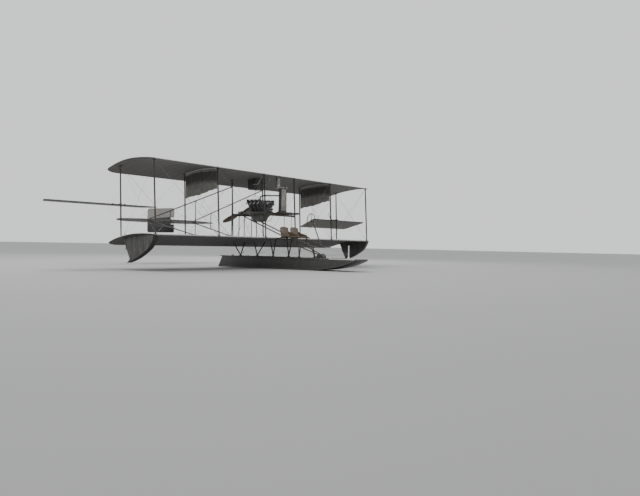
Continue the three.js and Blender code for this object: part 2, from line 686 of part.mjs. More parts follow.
const tailPlane = () => {
  const plan = new THREE.Shape();
  plan.moveTo(TAIL.front, -300);
  plan.lineTo(TAIL.front, 300);
  plan.quadraticCurveTo(TAIL.front - 60, 1500, TAIL.tipX, TAIL.half);
  plan.lineTo(FIXED_REAR, TAIL.half);
  plan.lineTo(FIXED_REAR, -TAIL.half);
  plan.lineTo(TAIL.tipX, -TAIL.half);
  plan.quadraticCurveTo(TAIL.front - 60, -1500, TAIL.front, -300);
  const section = tailSection(TAIL.front + 2, FIXED_REAR, 24, TAIL.thick);
  const body = slabAlongZ(plan, TAIL.z - 60, TAIL.z + 60, 6).intersect(
    slabAlongY(section, -TAIL.half - 10, TAIL.half + 10).translate([0, 0, TAIL.z]),
  );
  const notch = block([FIXED_REAR - 10, RUDDER.hingeX + 45], [-75, 75], [TAIL.z - 100, TAIL.z + 100]);
  const pins = [-1, 1].flatMap((sign) =>
    HINGE_PINS.map((at) => {
      const y = sign * at;
      const pin = rod([ELEVATOR_HINGE_X, y - 45, TAIL.z], [ELEVATOR_HINGE_X, y + 45, TAIL.z], 8, 16);
      const arm = block([ELEVATOR_HINGE_X - 5, FIXED_REAR + 8], [y - 9, y + 9], [TAIL.z - 7, TAIL.z + 7]);
      return pin.add(arm);
    }),
  );
  return tailTurn(join(body.subtract(notch), ...pins));
};

const elevator = (sign) => {
  const front = ELEVATOR_HINGE_X - 24;
  const plan = new THREE.Shape();
  plan.moveTo(front, 110);
  plan.lineTo(front, TAIL.half - 10);
  plan.quadraticCurveTo(TAIL.rear + 20, TAIL.half - 330, TAIL.rear, 900);
  plan.lineTo(TAIL.rear, 450);
  const section = tailSection(front, TAIL.rear - 5, 20, 8);
  const body = slabAlongZ(plan, TAIL.z - 60, TAIL.z + 60, 6).intersect(
    slabAlongY(section, 0, TAIL.half + 10).translate([0, 0, TAIL.z]),
  );
  const lugs = HINGE_PINS.map((at) => {
    const y = at + 27;
    const eye = ring([ELEVATOR_HINGE_X, y, TAIL.z], "y", 8, 22);
    return eye.add(block([front - 6, ELEVATOR_HINGE_X - 14], [y - 11, y + 11], [TAIL.z - 8, TAIL.z + 8]));
  });
  const horn = beam([front - 30, 300, TAIL.z - 190], [front - 30, 300, TAIL.z + 190], 24, 12);
  const whole = join(body, ...lugs, horn);
  return tailTurn(sign > 0 ? whole : whole.mirror([0, 1, 0]));
};

const RUDDER_RINGS = [NOSE.low + 30, NOSE.high - 30];
const rudderPost = (tail) => {
  const [foot, head] = [NOSE.low + 8, NOSE.high - 8].map((z) => [RUDDER.hingeX, 0, z]);
  const post = rod(foot, head, RUDDER.post, 16);
  const collars = [-1, 1].map((end) => {
    const z = TAIL.z + 9 + end * 40;
    return block([RUDDER.hingeX - 12, RUDDER.hingeX + 75], [-11, 11], [z - 21, z + 21]);
  });
  return seat(join(post, ...collars), tail, [0, 0, 1], [0, 0, -1], [-1, 0, 0], [1, 0, 0], [0, 0, 0]);
};

const rudder = () => {
  const { front, rear, low, high } = RUDDER;
  const shape = shapeOf([
    [NOSE.x - 25, low],
    [NOSE.x, low + 25],
    [NOSE.x, NOSE.low - 40],
    [NOSE.x - 40, NOSE.low],
    [front, NOSE.low],
    [front, NOSE.high],
    [NOSE.x - 40, NOSE.high],
    [NOSE.x, NOSE.high + 40],
    [NOSE.x, high - 60],
    [NOSE.x - 60, high],
    [rear + 60, high],
    [rear, high - 60],
    [rear, low + 60],
    [rear + 60, low],
  ]);
  const body = slabAlongY(shape, -RUDDER.thick / 2, RUDDER.thick / 2);
  const eyes = RUDDER_RINGS.map((z) => {
    const eye = ring([RUDDER.hingeX, 0, z], "z", RUDDER.post, 34);
    return eye.add(block([front - 6, RUDDER.hingeX - 22], [-8, 8], [z - 17, z + 17]));
  });
  const horn = beam([front - 50, -170, 1250], [front - 50, 170, 1250], 24, 12, [1, 0, 0]);
  return join(body, ...eyes, horn);
};

// Booms to the tail plane, with their posts. They spread a little towards the tail. The upper boom starts
// on the inner rear strut, and the lower one where it meets the top of the lower wing.
const BOOM_STARTS = {
  upper: { x: lineAt(REAR, 2435), z: 2435, endZ: TAIL.z + 40 },
  lower: { x: -1490, z: 682, endZ: TAIL.z - 25 },
};
const THIN_EDGE = 12; // less than the wing's thickness where the lower boom meets it
const boomY = (x) => {
  const from = BOOM_STARTS.upper.x;
  return STATIONS.inner + ((BOOM.joinY - STATIONS.inner) * (x - from)) / (BOOM.joinX - from);
};
const boomPoint = (level, x, sign) => {
  const start = BOOM_STARTS[level];
  const z = start.z + ((start.endZ - start.z) * (x - start.x)) / (BOOM.joinX - start.x);
  return [x, sign * boomY(x), z];
};
const boomBar = (level, sign) => {
  const [start, end] = [BOOM_STARTS[level].x, BOOM.joinX].map((x) => boomPoint(level, x, sign));
  return rod(start, end, BOOM.radius, BOOM.sides);
};
const boom = (level, sign, tail) => {
  const y = sign * BOOM.joinY;
  const shoe = block(
    [BOOM.joinX - 50, BOOM.joinX + 60],
    [y - 24, y + 24],
    level === "upper" ? [TAIL.z - 30, TAIL.z + 58] : [TAIL.z - 58, TAIL.z + 30],
  );
  const half = block(
    [-5200, -3000],
    [y - 100, y + 100],
    level === "upper" ? [0, TAIL.z + 20] : [TAIL.z, 3000],
  );
  const bar = boomBar(level, sign);
  const held =
    level === "upper"
      ? seat(bar, bareStrut(REAR, sign * STATIONS.inner), [0, 0, 0], [-1, 0, 0])
      : seatOver(bar, lowerWing).subtract(lowerWing.translate([0, 0, -THIN_EDGE]));
  const push = level === "upper" ? 1 : -1;
  return seat(join(held, shoe.subtract(half)), tail, [0, 0, push], [0, 0, 0]);
};
const BOOM_POSTS = { front: -2680, rear: -3730 };
const boomPost = (x, sign) => {
  const post = rod(boomPoint("lower", x, sign), boomPoint("upper", x, sign), 12);
  const onLower = seat(post, boomBar("lower", sign), [0, 0, 1], [0, 0, 0]);
  return seat(onLower, boomBar("upper", sign), [0, 0, -1], [0, 0, 0]);
};

const BOW_POST = { x: 2540, high: 720 };
const bowPost = () => {
  const z = DECK_Z + SEATED;
  const base = manifoldOf(
    new THREE.LatheGeometry(
      [
        [0, 0],
        [42, 0],
        [34, 22],
        [17, 70],
        [17, BOW_POST.high - z],
        [0, BOW_POST.high - z],
      ].map(([r, h]) => new THREE.Vector2(r, h)),
      12,
    )
      .rotateX(Math.PI / 2)
      .translate(BOW_POST.x, 0, z),
  );
  return base;
};

// Finishes
const finish = (color, roughness, metalness = 0) => ({ color, roughness, metalness });
const FABRIC = finish(0x6f6b62, 0.9);
const PALE_FABRIC = finish(0xb9b4a6, 0.9);
const WOOD = finish(0x4a3626, 0.6);
const DARK_WOOD = finish(0x33281f, 0.65);
const DARK_METAL = finish(0x2b2b2d, 0.45, 0.7);
const GREY_METAL = finish(0x8b8d8f, 0.4, 0.8);
const WHITE_PAINT = finish(0xe6e4de, 0.5);

// The whole aircraft
const tail = tailPlane();
const pieces = [
  ["upper_wing", upperWing, FABRIC],
  ["lower_wing", lowerWing, FABRIC],
  ...Object.entries(struts).map(([name, solid]) => [name, solid, WOOD]),
  ["aileron_port", aileron(1, PORT_AILERON_DROOP), PALE_FABRIC],
  ["aileron_starboard", aileron(-1, 0), PALE_FABRIC],
  ["main_float", mainFloat(), DARK_WOOD],
  ["engine", engine(), DARK_METAL],
  ["engine_bed", engineBed(), WOOD],
  ["propeller", propeller(), WOOD],
  ["radiator", radiator(), GREY_METAL],
  ["water_pipe", waterPipe(), GREY_METAL],
  ["fuel_tank", fuelTank(), DARK_METAL],
  ["foot_frame", footFrame(), WOOD],
  ["foot_block", footBlockSolid(), DARK_WOOD],
  ["control_column", column(), DARK_METAL],
  ["tail_plane", tail, FABRIC],
  ["rudder_post", rudderPost(tail), WOOD],
  ["rudder", rudder(), FABRIC],
  ["bow_post", bowPost(), WHITE_PAINT],
];
for (const [side, sign] of Object.entries(SIDES)) {
  const boomPosts = Object.entries(BOOM_POSTS);
  pieces.push(
    [`side_curtain_${side}`, curtain(side, sign), PALE_FABRIC],
    [`tip_float_${side}`, tipFloat(sign), DARK_WOOD],
    [`elevator_${side}`, elevator(sign), FABRIC],
    [`seat_${side}`, seatSolid(sign), WOOD],
    [`upper_boom_${side}`, boom("upper", sign, tail), WOOD],
    [`lower_boom_${side}`, boom("lower", sign, tail), WOOD],
    [`engine_brace_${side}`, engineBrace(sign), WOOD],
    [`bed_post_inner_${side}`, bedPost(sign * BED_POST.inner), WOOD],
    [`bed_post_outer_${side}`, bedPost(sign * BED_POST.outer), WOOD],
    ...FLOAT_STRUTS.map((row) => [`float_strut_${row.station}_${side}`, floatStrut(row, sign), WOOD]),
    ...boomPosts.map(([place, x]) => [`boom_post_${place}_${side}`, boomPost(x, sign), WOOD]),
  );
}

const aircraft = new THREE.Group();
for (const [name, solid, look] of pieces) {
  const mesh = new THREE.Mesh(geometryOf(solid), new THREE.MeshStandardMaterial(look));
  mesh.name = name;
  aircraft.add(mesh);
}

export default aircraft;
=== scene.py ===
"""A two-seat pusher biplane on one central float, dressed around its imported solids.

Metres, +X forward, +Y to port, +Z up, with the origin on the main float's flat bottom. Each piece is a
surface worked out on a grid, or a profile carried along a path. A part of a piece is its points, its
quads, its triangles and the number of its finish, and make() joins the parts of a piece in one mesh.
"""

import math

import bpy
import numpy as np
from mathutils import Matrix, Vector


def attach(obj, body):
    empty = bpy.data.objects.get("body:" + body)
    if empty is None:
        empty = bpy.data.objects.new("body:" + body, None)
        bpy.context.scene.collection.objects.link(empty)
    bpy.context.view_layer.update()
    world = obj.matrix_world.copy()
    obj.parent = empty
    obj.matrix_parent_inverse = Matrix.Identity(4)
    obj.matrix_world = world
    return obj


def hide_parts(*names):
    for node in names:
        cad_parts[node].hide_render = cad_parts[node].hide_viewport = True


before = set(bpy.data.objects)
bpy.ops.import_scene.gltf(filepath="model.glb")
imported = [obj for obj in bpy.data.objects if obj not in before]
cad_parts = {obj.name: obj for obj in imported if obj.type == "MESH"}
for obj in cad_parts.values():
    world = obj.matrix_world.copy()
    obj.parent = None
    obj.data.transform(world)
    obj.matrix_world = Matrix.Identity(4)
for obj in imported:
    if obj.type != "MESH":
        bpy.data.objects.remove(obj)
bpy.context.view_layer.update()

X, Y, Z = np.eye(3)
SIDES = (("port", 1), ("starboard", -1))
SHARP_EDGE = math.radians(38)
NO_CAPS = np.zeros((0, 3), int)

# The wings, as the solids have them
STATIONS = {"inner": 0.708, "middle": 2.655, "outer": 4.869}
CHORD, DROOP, CAMBER, SPAR_BACK = 1.85, 0.244, 0.11, 0.1
UPPER, LOWER = (0.0, 2.750), (0.1, 0.874)  # front spar on the underside: x, z
SECTION_PART = (0, 0.02, 0.06, 0.14, 0.26, 0.38, 0.5, 0.62, 0.74, 0.86, 0.94, 1)
SECTION_THICK = (0.014, 0.030, 0.042, 0.048, 0.047, 0.045, 0.042, 0.039, 0.034, 0.024, 0.015, 0.007)
HALF_SPAN, RIB_PITCH = 5.09, 0.295
FRONT_ROW, REAR_ROW = (0.105, 0.0), (-1.187, -1.267)  # a row of struts: x of the feet, x of the heads

# Heights and places of the rest
DECK = 0.350
TAIL_Z, HINGE_X, TAIL_SET = 1.435, -4.86, math.radians(4)
RUDDER_X = -4.74
AILERON_X, AILERON_Z, PORT_DROOP = -1.3, 1.66, math.radians(24)
JOIN_X, JOIN_Y = -4.64, 1.0  # where the booms meet the tail plane
POSTS = {"front": -2.68, "rear": -3.73}  # x of the posts between the booms
CRANK_Z, CRANK_REAR, CRANK_FRONT, BANK_LEAN = 1.66, -1.06, -0.38, math.radians(40)
BEARER_Y, BEARER_Z, BED_Z = 0.170, 1.64, 1.59
RAIL_Z, BAR_Z = 0.67, 0.934
FLOAT_LEGS = {"rear": (-1.15, 0.39, 0.745, 0.215), "middle": (0.12, 0.37, 0.52, 0.265)}  # x, y of foot and heads

# Camera, as the photograph has it
CAMERA_PLACE = (13.285, -16.387, 0.726)
CAMERA_AHEAD = (-0.58219, 0.81304, -0.00431)
CAMERA_UP = (-0.01853, -0.00797, 0.99980)
CAMERA_LENS, SENSOR = 39.375, 36.0


# Shapes


def at(*parts):
    """A point, or rows of points, from its coordinates, each a number or an array."""
    return np.stack(np.broadcast_arrays(*parts), -1).astype(float)


def unit(rows):
    """Rows of vectors, each divided by its length."""
    return rows / np.linalg.norm(rows, axis=-1, keepdims=True)


def loop_quads(rows, columns, around):
    """Numbers of the quads that join a rows x columns grid, its last column joined to its first if around."""
    index = np.arange(rows * columns).reshape(rows, columns)
    if around:
        index = np.hstack([index, index[:, :1]])
    corners = (index[:-1, :-1], index[:-1, 1:], index[1:, 1:], index[1:, :-1])
    return np.stack(corners, -1).reshape(-1, 4)


def closed(rings, tone=0):
    """A stack of rings joined by quads, with a fan around the middle of the first and of the last."""
    rows, columns = rings.shape[:2]
    points = np.vstack([rings.reshape(-1, 3), rings[[0, -1]].mean(1)])
    here = np.arange(columns)
    after = (here + 1) % columns
    last = (rows - 1) * columns
    start = np.stack([np.full(columns, rows * columns), after, here], -1)
    end = np.stack([np.full(columns, rows * columns + 1), last + here, last + after], -1)
    return points, loop_quads(rows, columns, True), np.vstack([start, end]), tone


def hoop(rings, tone=0):
    """Rings joined by quads, the last of them to the first."""
    rows, columns = rings.shape[:2]
    return rings.reshape(-1, 3), loop_quads(rows + 1, columns, True) % (rows * columns), NO_CAPS, tone


def swept(profile, path, scale=1.0, hint=Z):
    """The rings of a closed profile along a path.

    Each ring is the path's point, plus the profile's two columns times the scale there, along two axes
    across the path: the first is the hint less its share along the path, the second is square to both.
    """
    path = np.asarray(path, float)
    along = unit(np.gradient(path, axis=0))
    first = unit(hint - (along @ hint)[:, None] * along)
    second = np.cross(along, first)
    size = np.broadcast_to(np.asarray(scale, float).reshape(-1, 1), (len(path), 1))[:, None]
    return path[:, None] + size * (profile[:, :1] * first[:, None] + profile[:, 1:] * second[:, None])


def carry(profile, path, scale=1.0, hint=Z, tone=0):
    """A solid whose sections are a profile carried along a path."""
    return closed(swept(profile, path, scale, hint), tone)


def circle(sides, radius=1.0):
    turn = (np.arange(sides) + 0.5) * 2 * np.pi / sides
    return radius * at(np.cos(turn), np.sin(turn))


def rounded(width, height, radius, steps=3):
    """A rectangle whose corners are quarter circles."""
    radius = min(radius, width * 0.499, height * 0.499)
    turn = np.linspace(0, np.pi / 2, steps + 1)
    corners = []
    for quarter, (a, b) in enumerate(((1, 1), (-1, 1), (-1, -1), (1, -1))):
        angle = turn + quarter * np.pi / 2
        middle = (a * (width / 2 - radius), b * (height / 2 - radius))
        corners.append(middle + radius * at(np.cos(angle), np.sin(angle)))
    return np.vstack(corners)


def hint_for(a, b):
    """The axis that lies most across the way from a to b."""
    return np.eye(3)[int(np.argmin(np.abs(np.subtract(b, a))))]


def eased(profile, a, b, ease, inset, hint, tone):
    """A straight bar from a to b, whose section is drawn in to a share of itself over the ease at each end."""
    a, b = np.asarray(a, float), np.asarray(b, float)
    ease = ease / np.linalg.norm(b - a)
    path = a + at(0, ease, 1 - ease, 1)[:, None] * (b - a)
    return carry(profile, path, (inset, 1, 1, inset), hint, tone)


def rod(a, b, radius, sides=12, tone=0):
    """A round bar from a to b, its edges eased over a tenth of its radius."""
    ease = min(radius * 0.12, 0.25 * np.linalg.norm(np.subtract(b, a)))
    return eased(circle(sides, radius), a, b, ease, 0.88, hint_for(a, b), tone)


def bar(a, b, width, height, hint, edge=0.003, tone=0):
    """A bar of rounded rectangular section from a to b, its width along the hint."""
    inset = 1 - 1.4 * edge / max(width, height)
    return eased(rounded(width, height, edge), a, b, edge, inset, hint, tone)


def box(a, b, edge=0.003, tone=0):
    """A block between two opposite corners, with eased edges."""
    low, high = np.sort([a, b], 0)
    (x, y, _), (width, depth, _) = (low + high) / 2, high - low
    return bar((x, y, low[2]), (x, y, high[2]), width, depth, X, edge, tone)


def pad(place, half_x, half_y, height, edge=0.003, tone=0):
    """A block on a place, from its two half widths and its height."""
    half = at(half_x, half_y, 0)
    return box(place - half, place + half + height * Z, edge, tone)


def curve(points, steps):
    """A smooth path through points: Catmull-Rom cubics between each two, steps to each."""
    p = np.asarray(points, float)
    p = np.vstack([2 * p[0] - p[1], p, 2 * p[-1] - p[-2]])
    t = np.linspace(0, 1, steps, endpoint=False)[:, None]
    a, b, c, d = (p[i : len(p) - 3 + i, None] for i in range(4))
    piece = 0.5 * (2 * b + (c - a) * t + (2 * a - 5 * b + 4 * c - d) * t**2 + (3 * b - a - 3 * c + d) * t**3)
    return np.vstack([piece.reshape(-1, p.shape[1]), p[-2]])


def bezier(points, steps):
    """Points of a Bezier curve: De Casteljau's rule on its two to four control points."""
    t = np.linspace(0, 1, steps)[:, None]
    rows = [np.asarray(p, float)[None] for p in points]
    while len(rows) > 1:
        rows = [a * (1 - t) + b * t for a, b in zip(rows[:-1], rows[1:])]
    return rows[0]


def tube(points, radius, sides=12, steps=6, tone=0):
    """A round tube along a smooth path through the points."""
    path = curve(points, steps)
    return carry(circle(sides), path, radius, hint_for(path[0], path[-1]), tone)


def spokes(axis, sides):
    """An axis at length one, and directions square to it at even angles."""
    axis = unit(np.asarray(axis, float))
    first = unit(np.cross(axis, hint_for((0, 0, 0), axis)))
    turn = (np.arange(sides) * 2 * np.pi / sides)[:, None]
    return axis, np.cos(turn) * first + np.sin(turn) * np.cross(axis, first)


def spin(profile, centre, axis, sides=24, tone=0):
    """Turns rows of (radius, height) about an axis from a centre: a ring for each row."""
    axis, across = spokes(axis, sides)
    rows = np.asarray(profile, float)[:, None]
    return closed(centre + rows[..., 1:] * axis + rows[..., :1] * across, tone)


def eye(centre, axis, inner, outer, width, tone=2):
    """A ring about an axis, with its hole."""
    axis, across = spokes(axis, 16)
    edge = np.array([(inner, 1), (outer * 0.94, 1), (outer, 0.85)]) * (1, width / 2)
    rows = np.vstack([edge, edge[::-1] * (1, -1)])
    return hoop(centre + rows[:, 1:] * axis + rows[:, :1] * across[:, None], tone)


def bolt(place, axis, size=0.008, tone=1):
    """A hexagon head on its washer."""
    return spin(size * np.array([(1, 0), (1, 0.2), (0.75, 0.25), (0.75, 0.8), (0.6, 1)]), place, axis, 6, tone)


def bolt_ring(centre, first, second, axis, radius, count, start, size, tone):
    """Bolts at even angles on a circle in the plane of two directions."""
    turns = start + np.arange(count) * 2 * np.pi / count
    return [bolt(centre + radius * (math.cos(t) * first + math.sin(t) * second), axis, size, tone) for t in turns]


def turned(parts, centre, axis, angle):
    """Parts turned about an axis through a centre, by an angle in radians."""
    turn = np.array(Matrix.Rotation(angle, 3, Vector(axis)))
    return [((points - centre) @ turn.T + centre, *rest) for points, *rest in parts]


def mirrored(parts):
    """Parts on the other side of the centreline, with their faces' order turned round."""
    return [(points * (1, -1, 1), quads[:, ::-1], caps[:, ::-1], tone) for points, quads, caps, tone in parts]


def add_object(name, data):
    item = bpy.data.objects.new(name, data)
    bpy.context.scene.collection.objects.link(item)
    return item


def make(name, parts, slot, *finishes, body="airframe"):
    """Joins parts in one smooth-shaded mesh on a body, with its sharp edges kept sharp."""
    starts = np.cumsum([0] + [len(points) for points, *_ in parts])
    faces = []
    for (_, quads, triangles, tone), start in zip(parts, starts):
        tone = np.atleast_1d(tone)
        faces += [(quads + start, np.broadcast_to(tone, len(quads))), (triangles + start, tone[-1])]
    loops = np.concatenate([rows.ravel() for rows, _ in faces])
    sizes = np.concatenate([np.full(len(rows), rows.shape[1]) for rows, _ in faces])
    tones = np.concatenate([np.full(len(rows), tone) for rows, tone in faces])
    points = np.concatenate([points for points, *_ in parts])
    mesh = bpy.data.meshes.new(name)
    mesh.vertices.add(len(points))
    mesh.vertices.foreach_set("co", points.ravel())
    mesh.loops.add(len(loops))
    mesh.loops.foreach_set("vertex_index", loops)
    mesh.polygons.add(len(sizes))
    mesh.polygons.foreach_set("loop_start", np.cumsum(sizes) - sizes)
    mesh.polygons.foreach_set("material_index", tones)
    mesh.update(calc_edges=True)
    mesh.validate()
    mesh.polygons.foreach_set("use_smooth", np.ones(len(mesh.polygons), bool))
    mesh.set_sharp_from_angle(angle=SHARP_EDGE)
    for finish in finishes:
        mesh.materials.append(finish)
    piece = add_object(name, mesh)
    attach(piece, body)
    return piece


def cover(node, word, parts, slot, *finishes, body="airframe"):
    """Makes the piece that replaces a node, named for the node and for what it is."""
    piece = make(f"{node}_{word}", parts, slot, *finishes, body=body)
    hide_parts(node)
    return piece


# Wing section


def underside(wing, x):
    """The underside's height: a parabola of the camber on a chord that droops towards its rear edge."""
    front, height = wing
    part, spar_part = (front + SPAR_BACK - x) / CHORD, SPAR_BACK / CHORD
    return height - DROOP * (part - spar_part) + 4 * CAMBER * (part * (1 - part) - spar_part * (1 - spar_part))


def thickness(wing, x):
    return np.interp((wing[0] + SPAR_BACK - x) / CHORD, SECTION_PART, SECTION_THICK)


def top_at(wing, x):
    return underside(wing, x) + thickness(wing, x)


def row_at(row, z):
    """Where a row of struts is at a height: on the line from its foot to its head."""
    low, high = top_at(LOWER, row[0]), underside(UPPER, row[1])
    return row[0] + (row[1] - row[0]) * (z - low) / (high - low)


# Finishes


class Net:
    """The nodes of one finish. A method adds a node and gives the socket that comes out of it."""

    def __init__(self, name, roughness, metallic=0.0, **sockets):
        self.finish = bpy.data.materials.new(name)
        self.finish.use_nodes = True
        self.tree = self.finish.node_tree
        self.shader = self.tree.nodes["Principled BSDF"]
        for socket, value in {"Roughness": roughness, "Metallic": metallic, **sockets}.items():
            self.shader.inputs[socket.replace("_", " ")].default_value = value
        self.place = self.tree.nodes.new("ShaderNodeTexCoord").outputs["Object"]

    def put(self, kind, inputs, out=0, **settings):
        node = self.tree.nodes.new("ShaderNode" + kind)
        for key, value in settings.items():
            setattr(node, key, value)
        for key, value in inputs.items():
            if isinstance(value, bpy.types.NodeSocket):
                self.tree.links.new(value, node.inputs[key])
            else:
                node.inputs[key].default_value = value
        return node.outputs[out]

    def noise(self, scale, detail, place=None):
        return self.put("TexNoise", {"Vector": place or self.place, "Scale": scale, "Detail": detail})

    def stretched(self, scale):
        """Object coordinates, stretched."""
        return self.put("Mapping", {"Vector": self.place, "Scale": scale})

    def axis(self, index):
        """One of the three Object coordinates."""
        return self.put("SeparateXYZ", {0: self.place}, index)

    def math(self, operation, a, b):
        return self.put("Math", {0: a, 1: b}, operation=operation)

    def times(self, a, b):
        return self.math("MULTIPLY", a, b)

    def plus(self, a, b):
        return self.math("ADD", a, b)

    def range(self, value, low, high, to_low=0.0, to_high=1.0):
        """A value from low to high, brought to another range and held in it."""
        sockets = {"Value": value, "From Min": low, "From Max": high, "To Min": to_low, "To Max": to_high}
        return self.put("MapRange", sockets)

    def spots(self, scale, detail, low, high, place=None):
        """Noise, stretched so that it is 0 under low and 1 over high."""
        return self.range(self.noise(scale, detail, place), low, high)

    def lines(self, value, pitch, width):
        """One near each whole multiple of the pitch, and nothing between."""
        return self.range(self.math("PINGPONG", value, pitch / 2), 0.0, width, 1.0, 0.0)

    def weave(self):
        return self.plus(self.noise(420.0, 2.0), self.times(self.noise(60.0, 3.0), 0.5))

    def mix(self, share, a, b):
        """Two colours mixed."""
        a, b = (color if isinstance(color, bpy.types.NodeSocket) else (*color, 1) for color in (a, b))
        return self.put("Mix", {0: share, 6: a, 7: b}, 2, data_type="RGBA")

    def over(self, base, mask, share, color):
        """A share of a colour laid over the base where the mask is 1."""
        return self.mix(self.times(mask, share), base, color)

    def done(self, color, height, strength, distance, roughness=None):
        bump = self.put("Bump", {"Height": height, "Strength": strength, "Distance": distance})
        for key, socket in (("Base Color", color), ("Normal", bump), ("Roughness", roughness)):
            if socket is not None:
                self.tree.links.new(socket, self.shader.inputs[key])
        return self.finish


def shade(color, factor):
    return tuple(part * factor for part in color)


def cloth(name, color, rib=None, rib_axis=1, line_tone=1.12):
    """Doped cotton: fine weave, slow stains, and a paler tape over each rib."""
    net = Net(name, 0.86, Sheen_Weight=0.15)
    base = net.mix(net.spots(1.3, 5.0, 0.35, 0.7), color, shade(color, 0.82))
    base = net.over(base, net.spots(16.0, 5.0, 0.3, 0.75), 0.35, shade(color, 0.7544))
    weave = net.weave()
    if rib:
        tape = net.lines(net.axis(rib_axis), rib, 0.014)
        base = net.over(base, tape, 0.6, shade(color, line_tone))
        weave = net.plus(weave, net.times(tape, 0.9))
    return net.done(base, weave, 0.25, 0.0012)


def banded_cloth(name, color, bands):
    """Loose cloth whose tone changes at depths under the upper wing: a quadratic in x, less z. The bands paint the
    wing's shade on the cloth.
    """
    net = Net(name, 0.88, Sheen_Weight=0.15)
    x, z = net.axis(0), net.axis(2)
    reach = np.linspace(-1.4, 0.1, 9)
    square, slope, level = (float(part) for part in np.polyfit(reach, underside(UPPER, reach), 2))
    arch = net.plus(net.times(net.plus(net.times(x, square), slope), x), level)
    depth = net.plus(net.math("SUBTRACT", arch, z), net.range(net.noise(4.0, 3.0), 0.3, 0.7, -0.018, 0.018))
    base = net.mix(net.spots(6.0, 5.0, 0.35, 0.7), color, shade(color, 0.85))
    for start, end, tone in bands:
        uneven = net.mix(net.spots(9.0, 5.0, 0.35, 0.7), tone, shade(tone, 0.75))
        base = net.mix(net.range(depth, start, end), base, uneven)
    return net.done(base, net.weave(), 0.25, 0.0012)


def wood(name, light, dark, roughness=0.45, along=0, coat=0.3, ring=9.0):
    """Varnished timber: long grain bands, dark pores and worn, duller patches."""
    net = Net(name, roughness, Coat_Weight=coat, Coat_Roughness=0.25)
    place = net.stretched([ring * (0.07 if axis == along else 1) for axis in range(3)])
    grain, pores = net.spots(2.2, 6.0, 0.3, 0.7, place), net.spots(14.0, 4.0, 0.5, 0.72, place)
    worn = net.spots(3.0, 4.0, 0.4, 0.75)
    base = net.over(net.mix(grain, dark, light), pores, 0.5, shade(dark, 0.5))
    base = net.over(base, worn, 0.25, shade(light, 1.25))
    rough = net.range(worn, 0.0, 1.0, roughness, min(1.0, roughness + 0.2))
    return net.done(base, net.math("SUBTRACT", grain, pores), 0.3, 0.0008, rough)


def metal(name, color, roughness, grime, metallic=0.85):
    """Worked metal: oil and grime in soft patches, fine scratches in its gloss."""
    net = Net(name, roughness, metallic)
    patch, fine = net.spots(7.0, 6.0, 0.42, 0.72), net.spots(60.0, 5.0, 0.35, 0.7)
    base = net.over(net.over(color, patch, grime, shade(color, 0.35)), fine, 0.2, shade(color, 1.3))
    rough = net.range(patch, 0.0, 1.0, roughness, min(1.0, roughness + 0.3))
    return net.done(base, fine, 0.2, 0.0006, rough)


def paint(name, color, roughness, wear, chips, streak=0.0):
    """Brushed paint: slow uneven tone, brush lines, chips and rain streaks that run down."""
    net = Net(name, roughness, Coat_Weight=0.1)
    brush = net.spots(9.0, 3.0, 0.35, 0.7, net.stretched((1, 6, 6)))
    base = net.mix(net.spots(2.0, 5.0, 0.35, 0.7), color, shade(color, 0.78))
    base = net.over(base, brush, 0.3, shade(color, 1.2))
    if streak:
        base = net.over(base, net.spots(7.0, 4.0, 0.45, 0.8, net.stretched((6, 6, 0.5))), streak, wear)
    base = net.over(base, net.spots(22.0, 6.0, 0.66, 0.7), chips, wear)
    return net.done(base, brush, 0.2, 0.0008)


CLOTH_TOP = cloth("wing_cloth_top", (0.56, 0.54, 0.49), rib=RIB_PITCH)
# Underside cloths of the wings and tail: the pale top cloth darkened as painted shade, deepest under the lower wing
CLOTH_UNDER_PAINTED_SHADE = cloth("wing_cloth_under_painted_shade", (0.078, 0.075, 0.070), rib=RIB_PITCH, line_tone=1.35)
CLOTH_SHADE = cloth("wing_cloth_low_painted_shade", (0.036, 0.035, 0.033), rib=RIB_PITCH, line_tone=1.35)
CLOTH_PALE = cloth("aileron_cloth", (0.50, 0.48, 0.44), rib=0.30)
# The aileron's underside: its pale cloth darkened as painted shade
CLOTH_AILERON_UNDER_PAINTED_SHADE = cloth("aileron_cloth_under_painted_shade", (0.085, 0.082, 0.076), rib=0.30, line_tone=1.3)
CLOTH_TAIL = cloth("tail_cloth", (0.26, 0.25, 0.23), rib=0.28)
RUDDER_PALE = cloth("rudder_upper", (0.245, 0.237, 0.218), rib=0.21, rib_axis=2)
RUDDER_DARK = cloth("rudder_lower", (0.018, 0.0175, 0.0165), rib=0.21, rib_axis=2)
# Curtain tones by depth under the upper wing: a dark band of painted shade from about 0.09 m down, paler again from
# 0.3 to 0.42 m down; the pale strip at the top is the cloth doubled over the rope
CURTAIN_PAINTED_SHADE_BANDS = ((0.076, 0.092, (0.066, 0.064, 0.060)), (0.300, 0.420, (0.20, 0.195, 0.18)))
CLOTH_CURTAIN_PAINTED_SHADE = banded_cloth("curtain_cloth", (0.23, 0.225, 0.21), CURTAIN_PAINTED_SHADE_BANDS)
HEM = cloth("curtain_hem", (0.30, 0.29, 0.27))
STRUT_WOOD = wood("strut_spruce", (0.036, 0.026, 0.018), (0.019, 0.013, 0.009), along=2, coat=0.1)
BOOM_WOOD = wood("boom_spruce", (0.030, 0.022, 0.016), (0.016, 0.012, 0.008), coat=0.1)
BED_WOOD = wood("bearer_ash", (0.050, 0.036, 0.024), (0.026, 0.019, 0.013), 0.55)
SEAT_WOOD = wood("seat_ply", (0.15, 0.105, 0.066), (0.082, 0.056, 0.035), 0.4, along=1)
BLADE_WOOD = wood("blade_walnut", (0.11, 0.066, 0.038), (0.048, 0.028, 0.016), 0.28, along=1, coat=0.6, ring=22.0)
DARK_IRON = metal("dark_iron", (0.10, 0.10, 0.105), 0.5, 0.6)
STEEL = metal("bright_steel", (0.46, 0.46, 0.47), 0.34, 0.35)
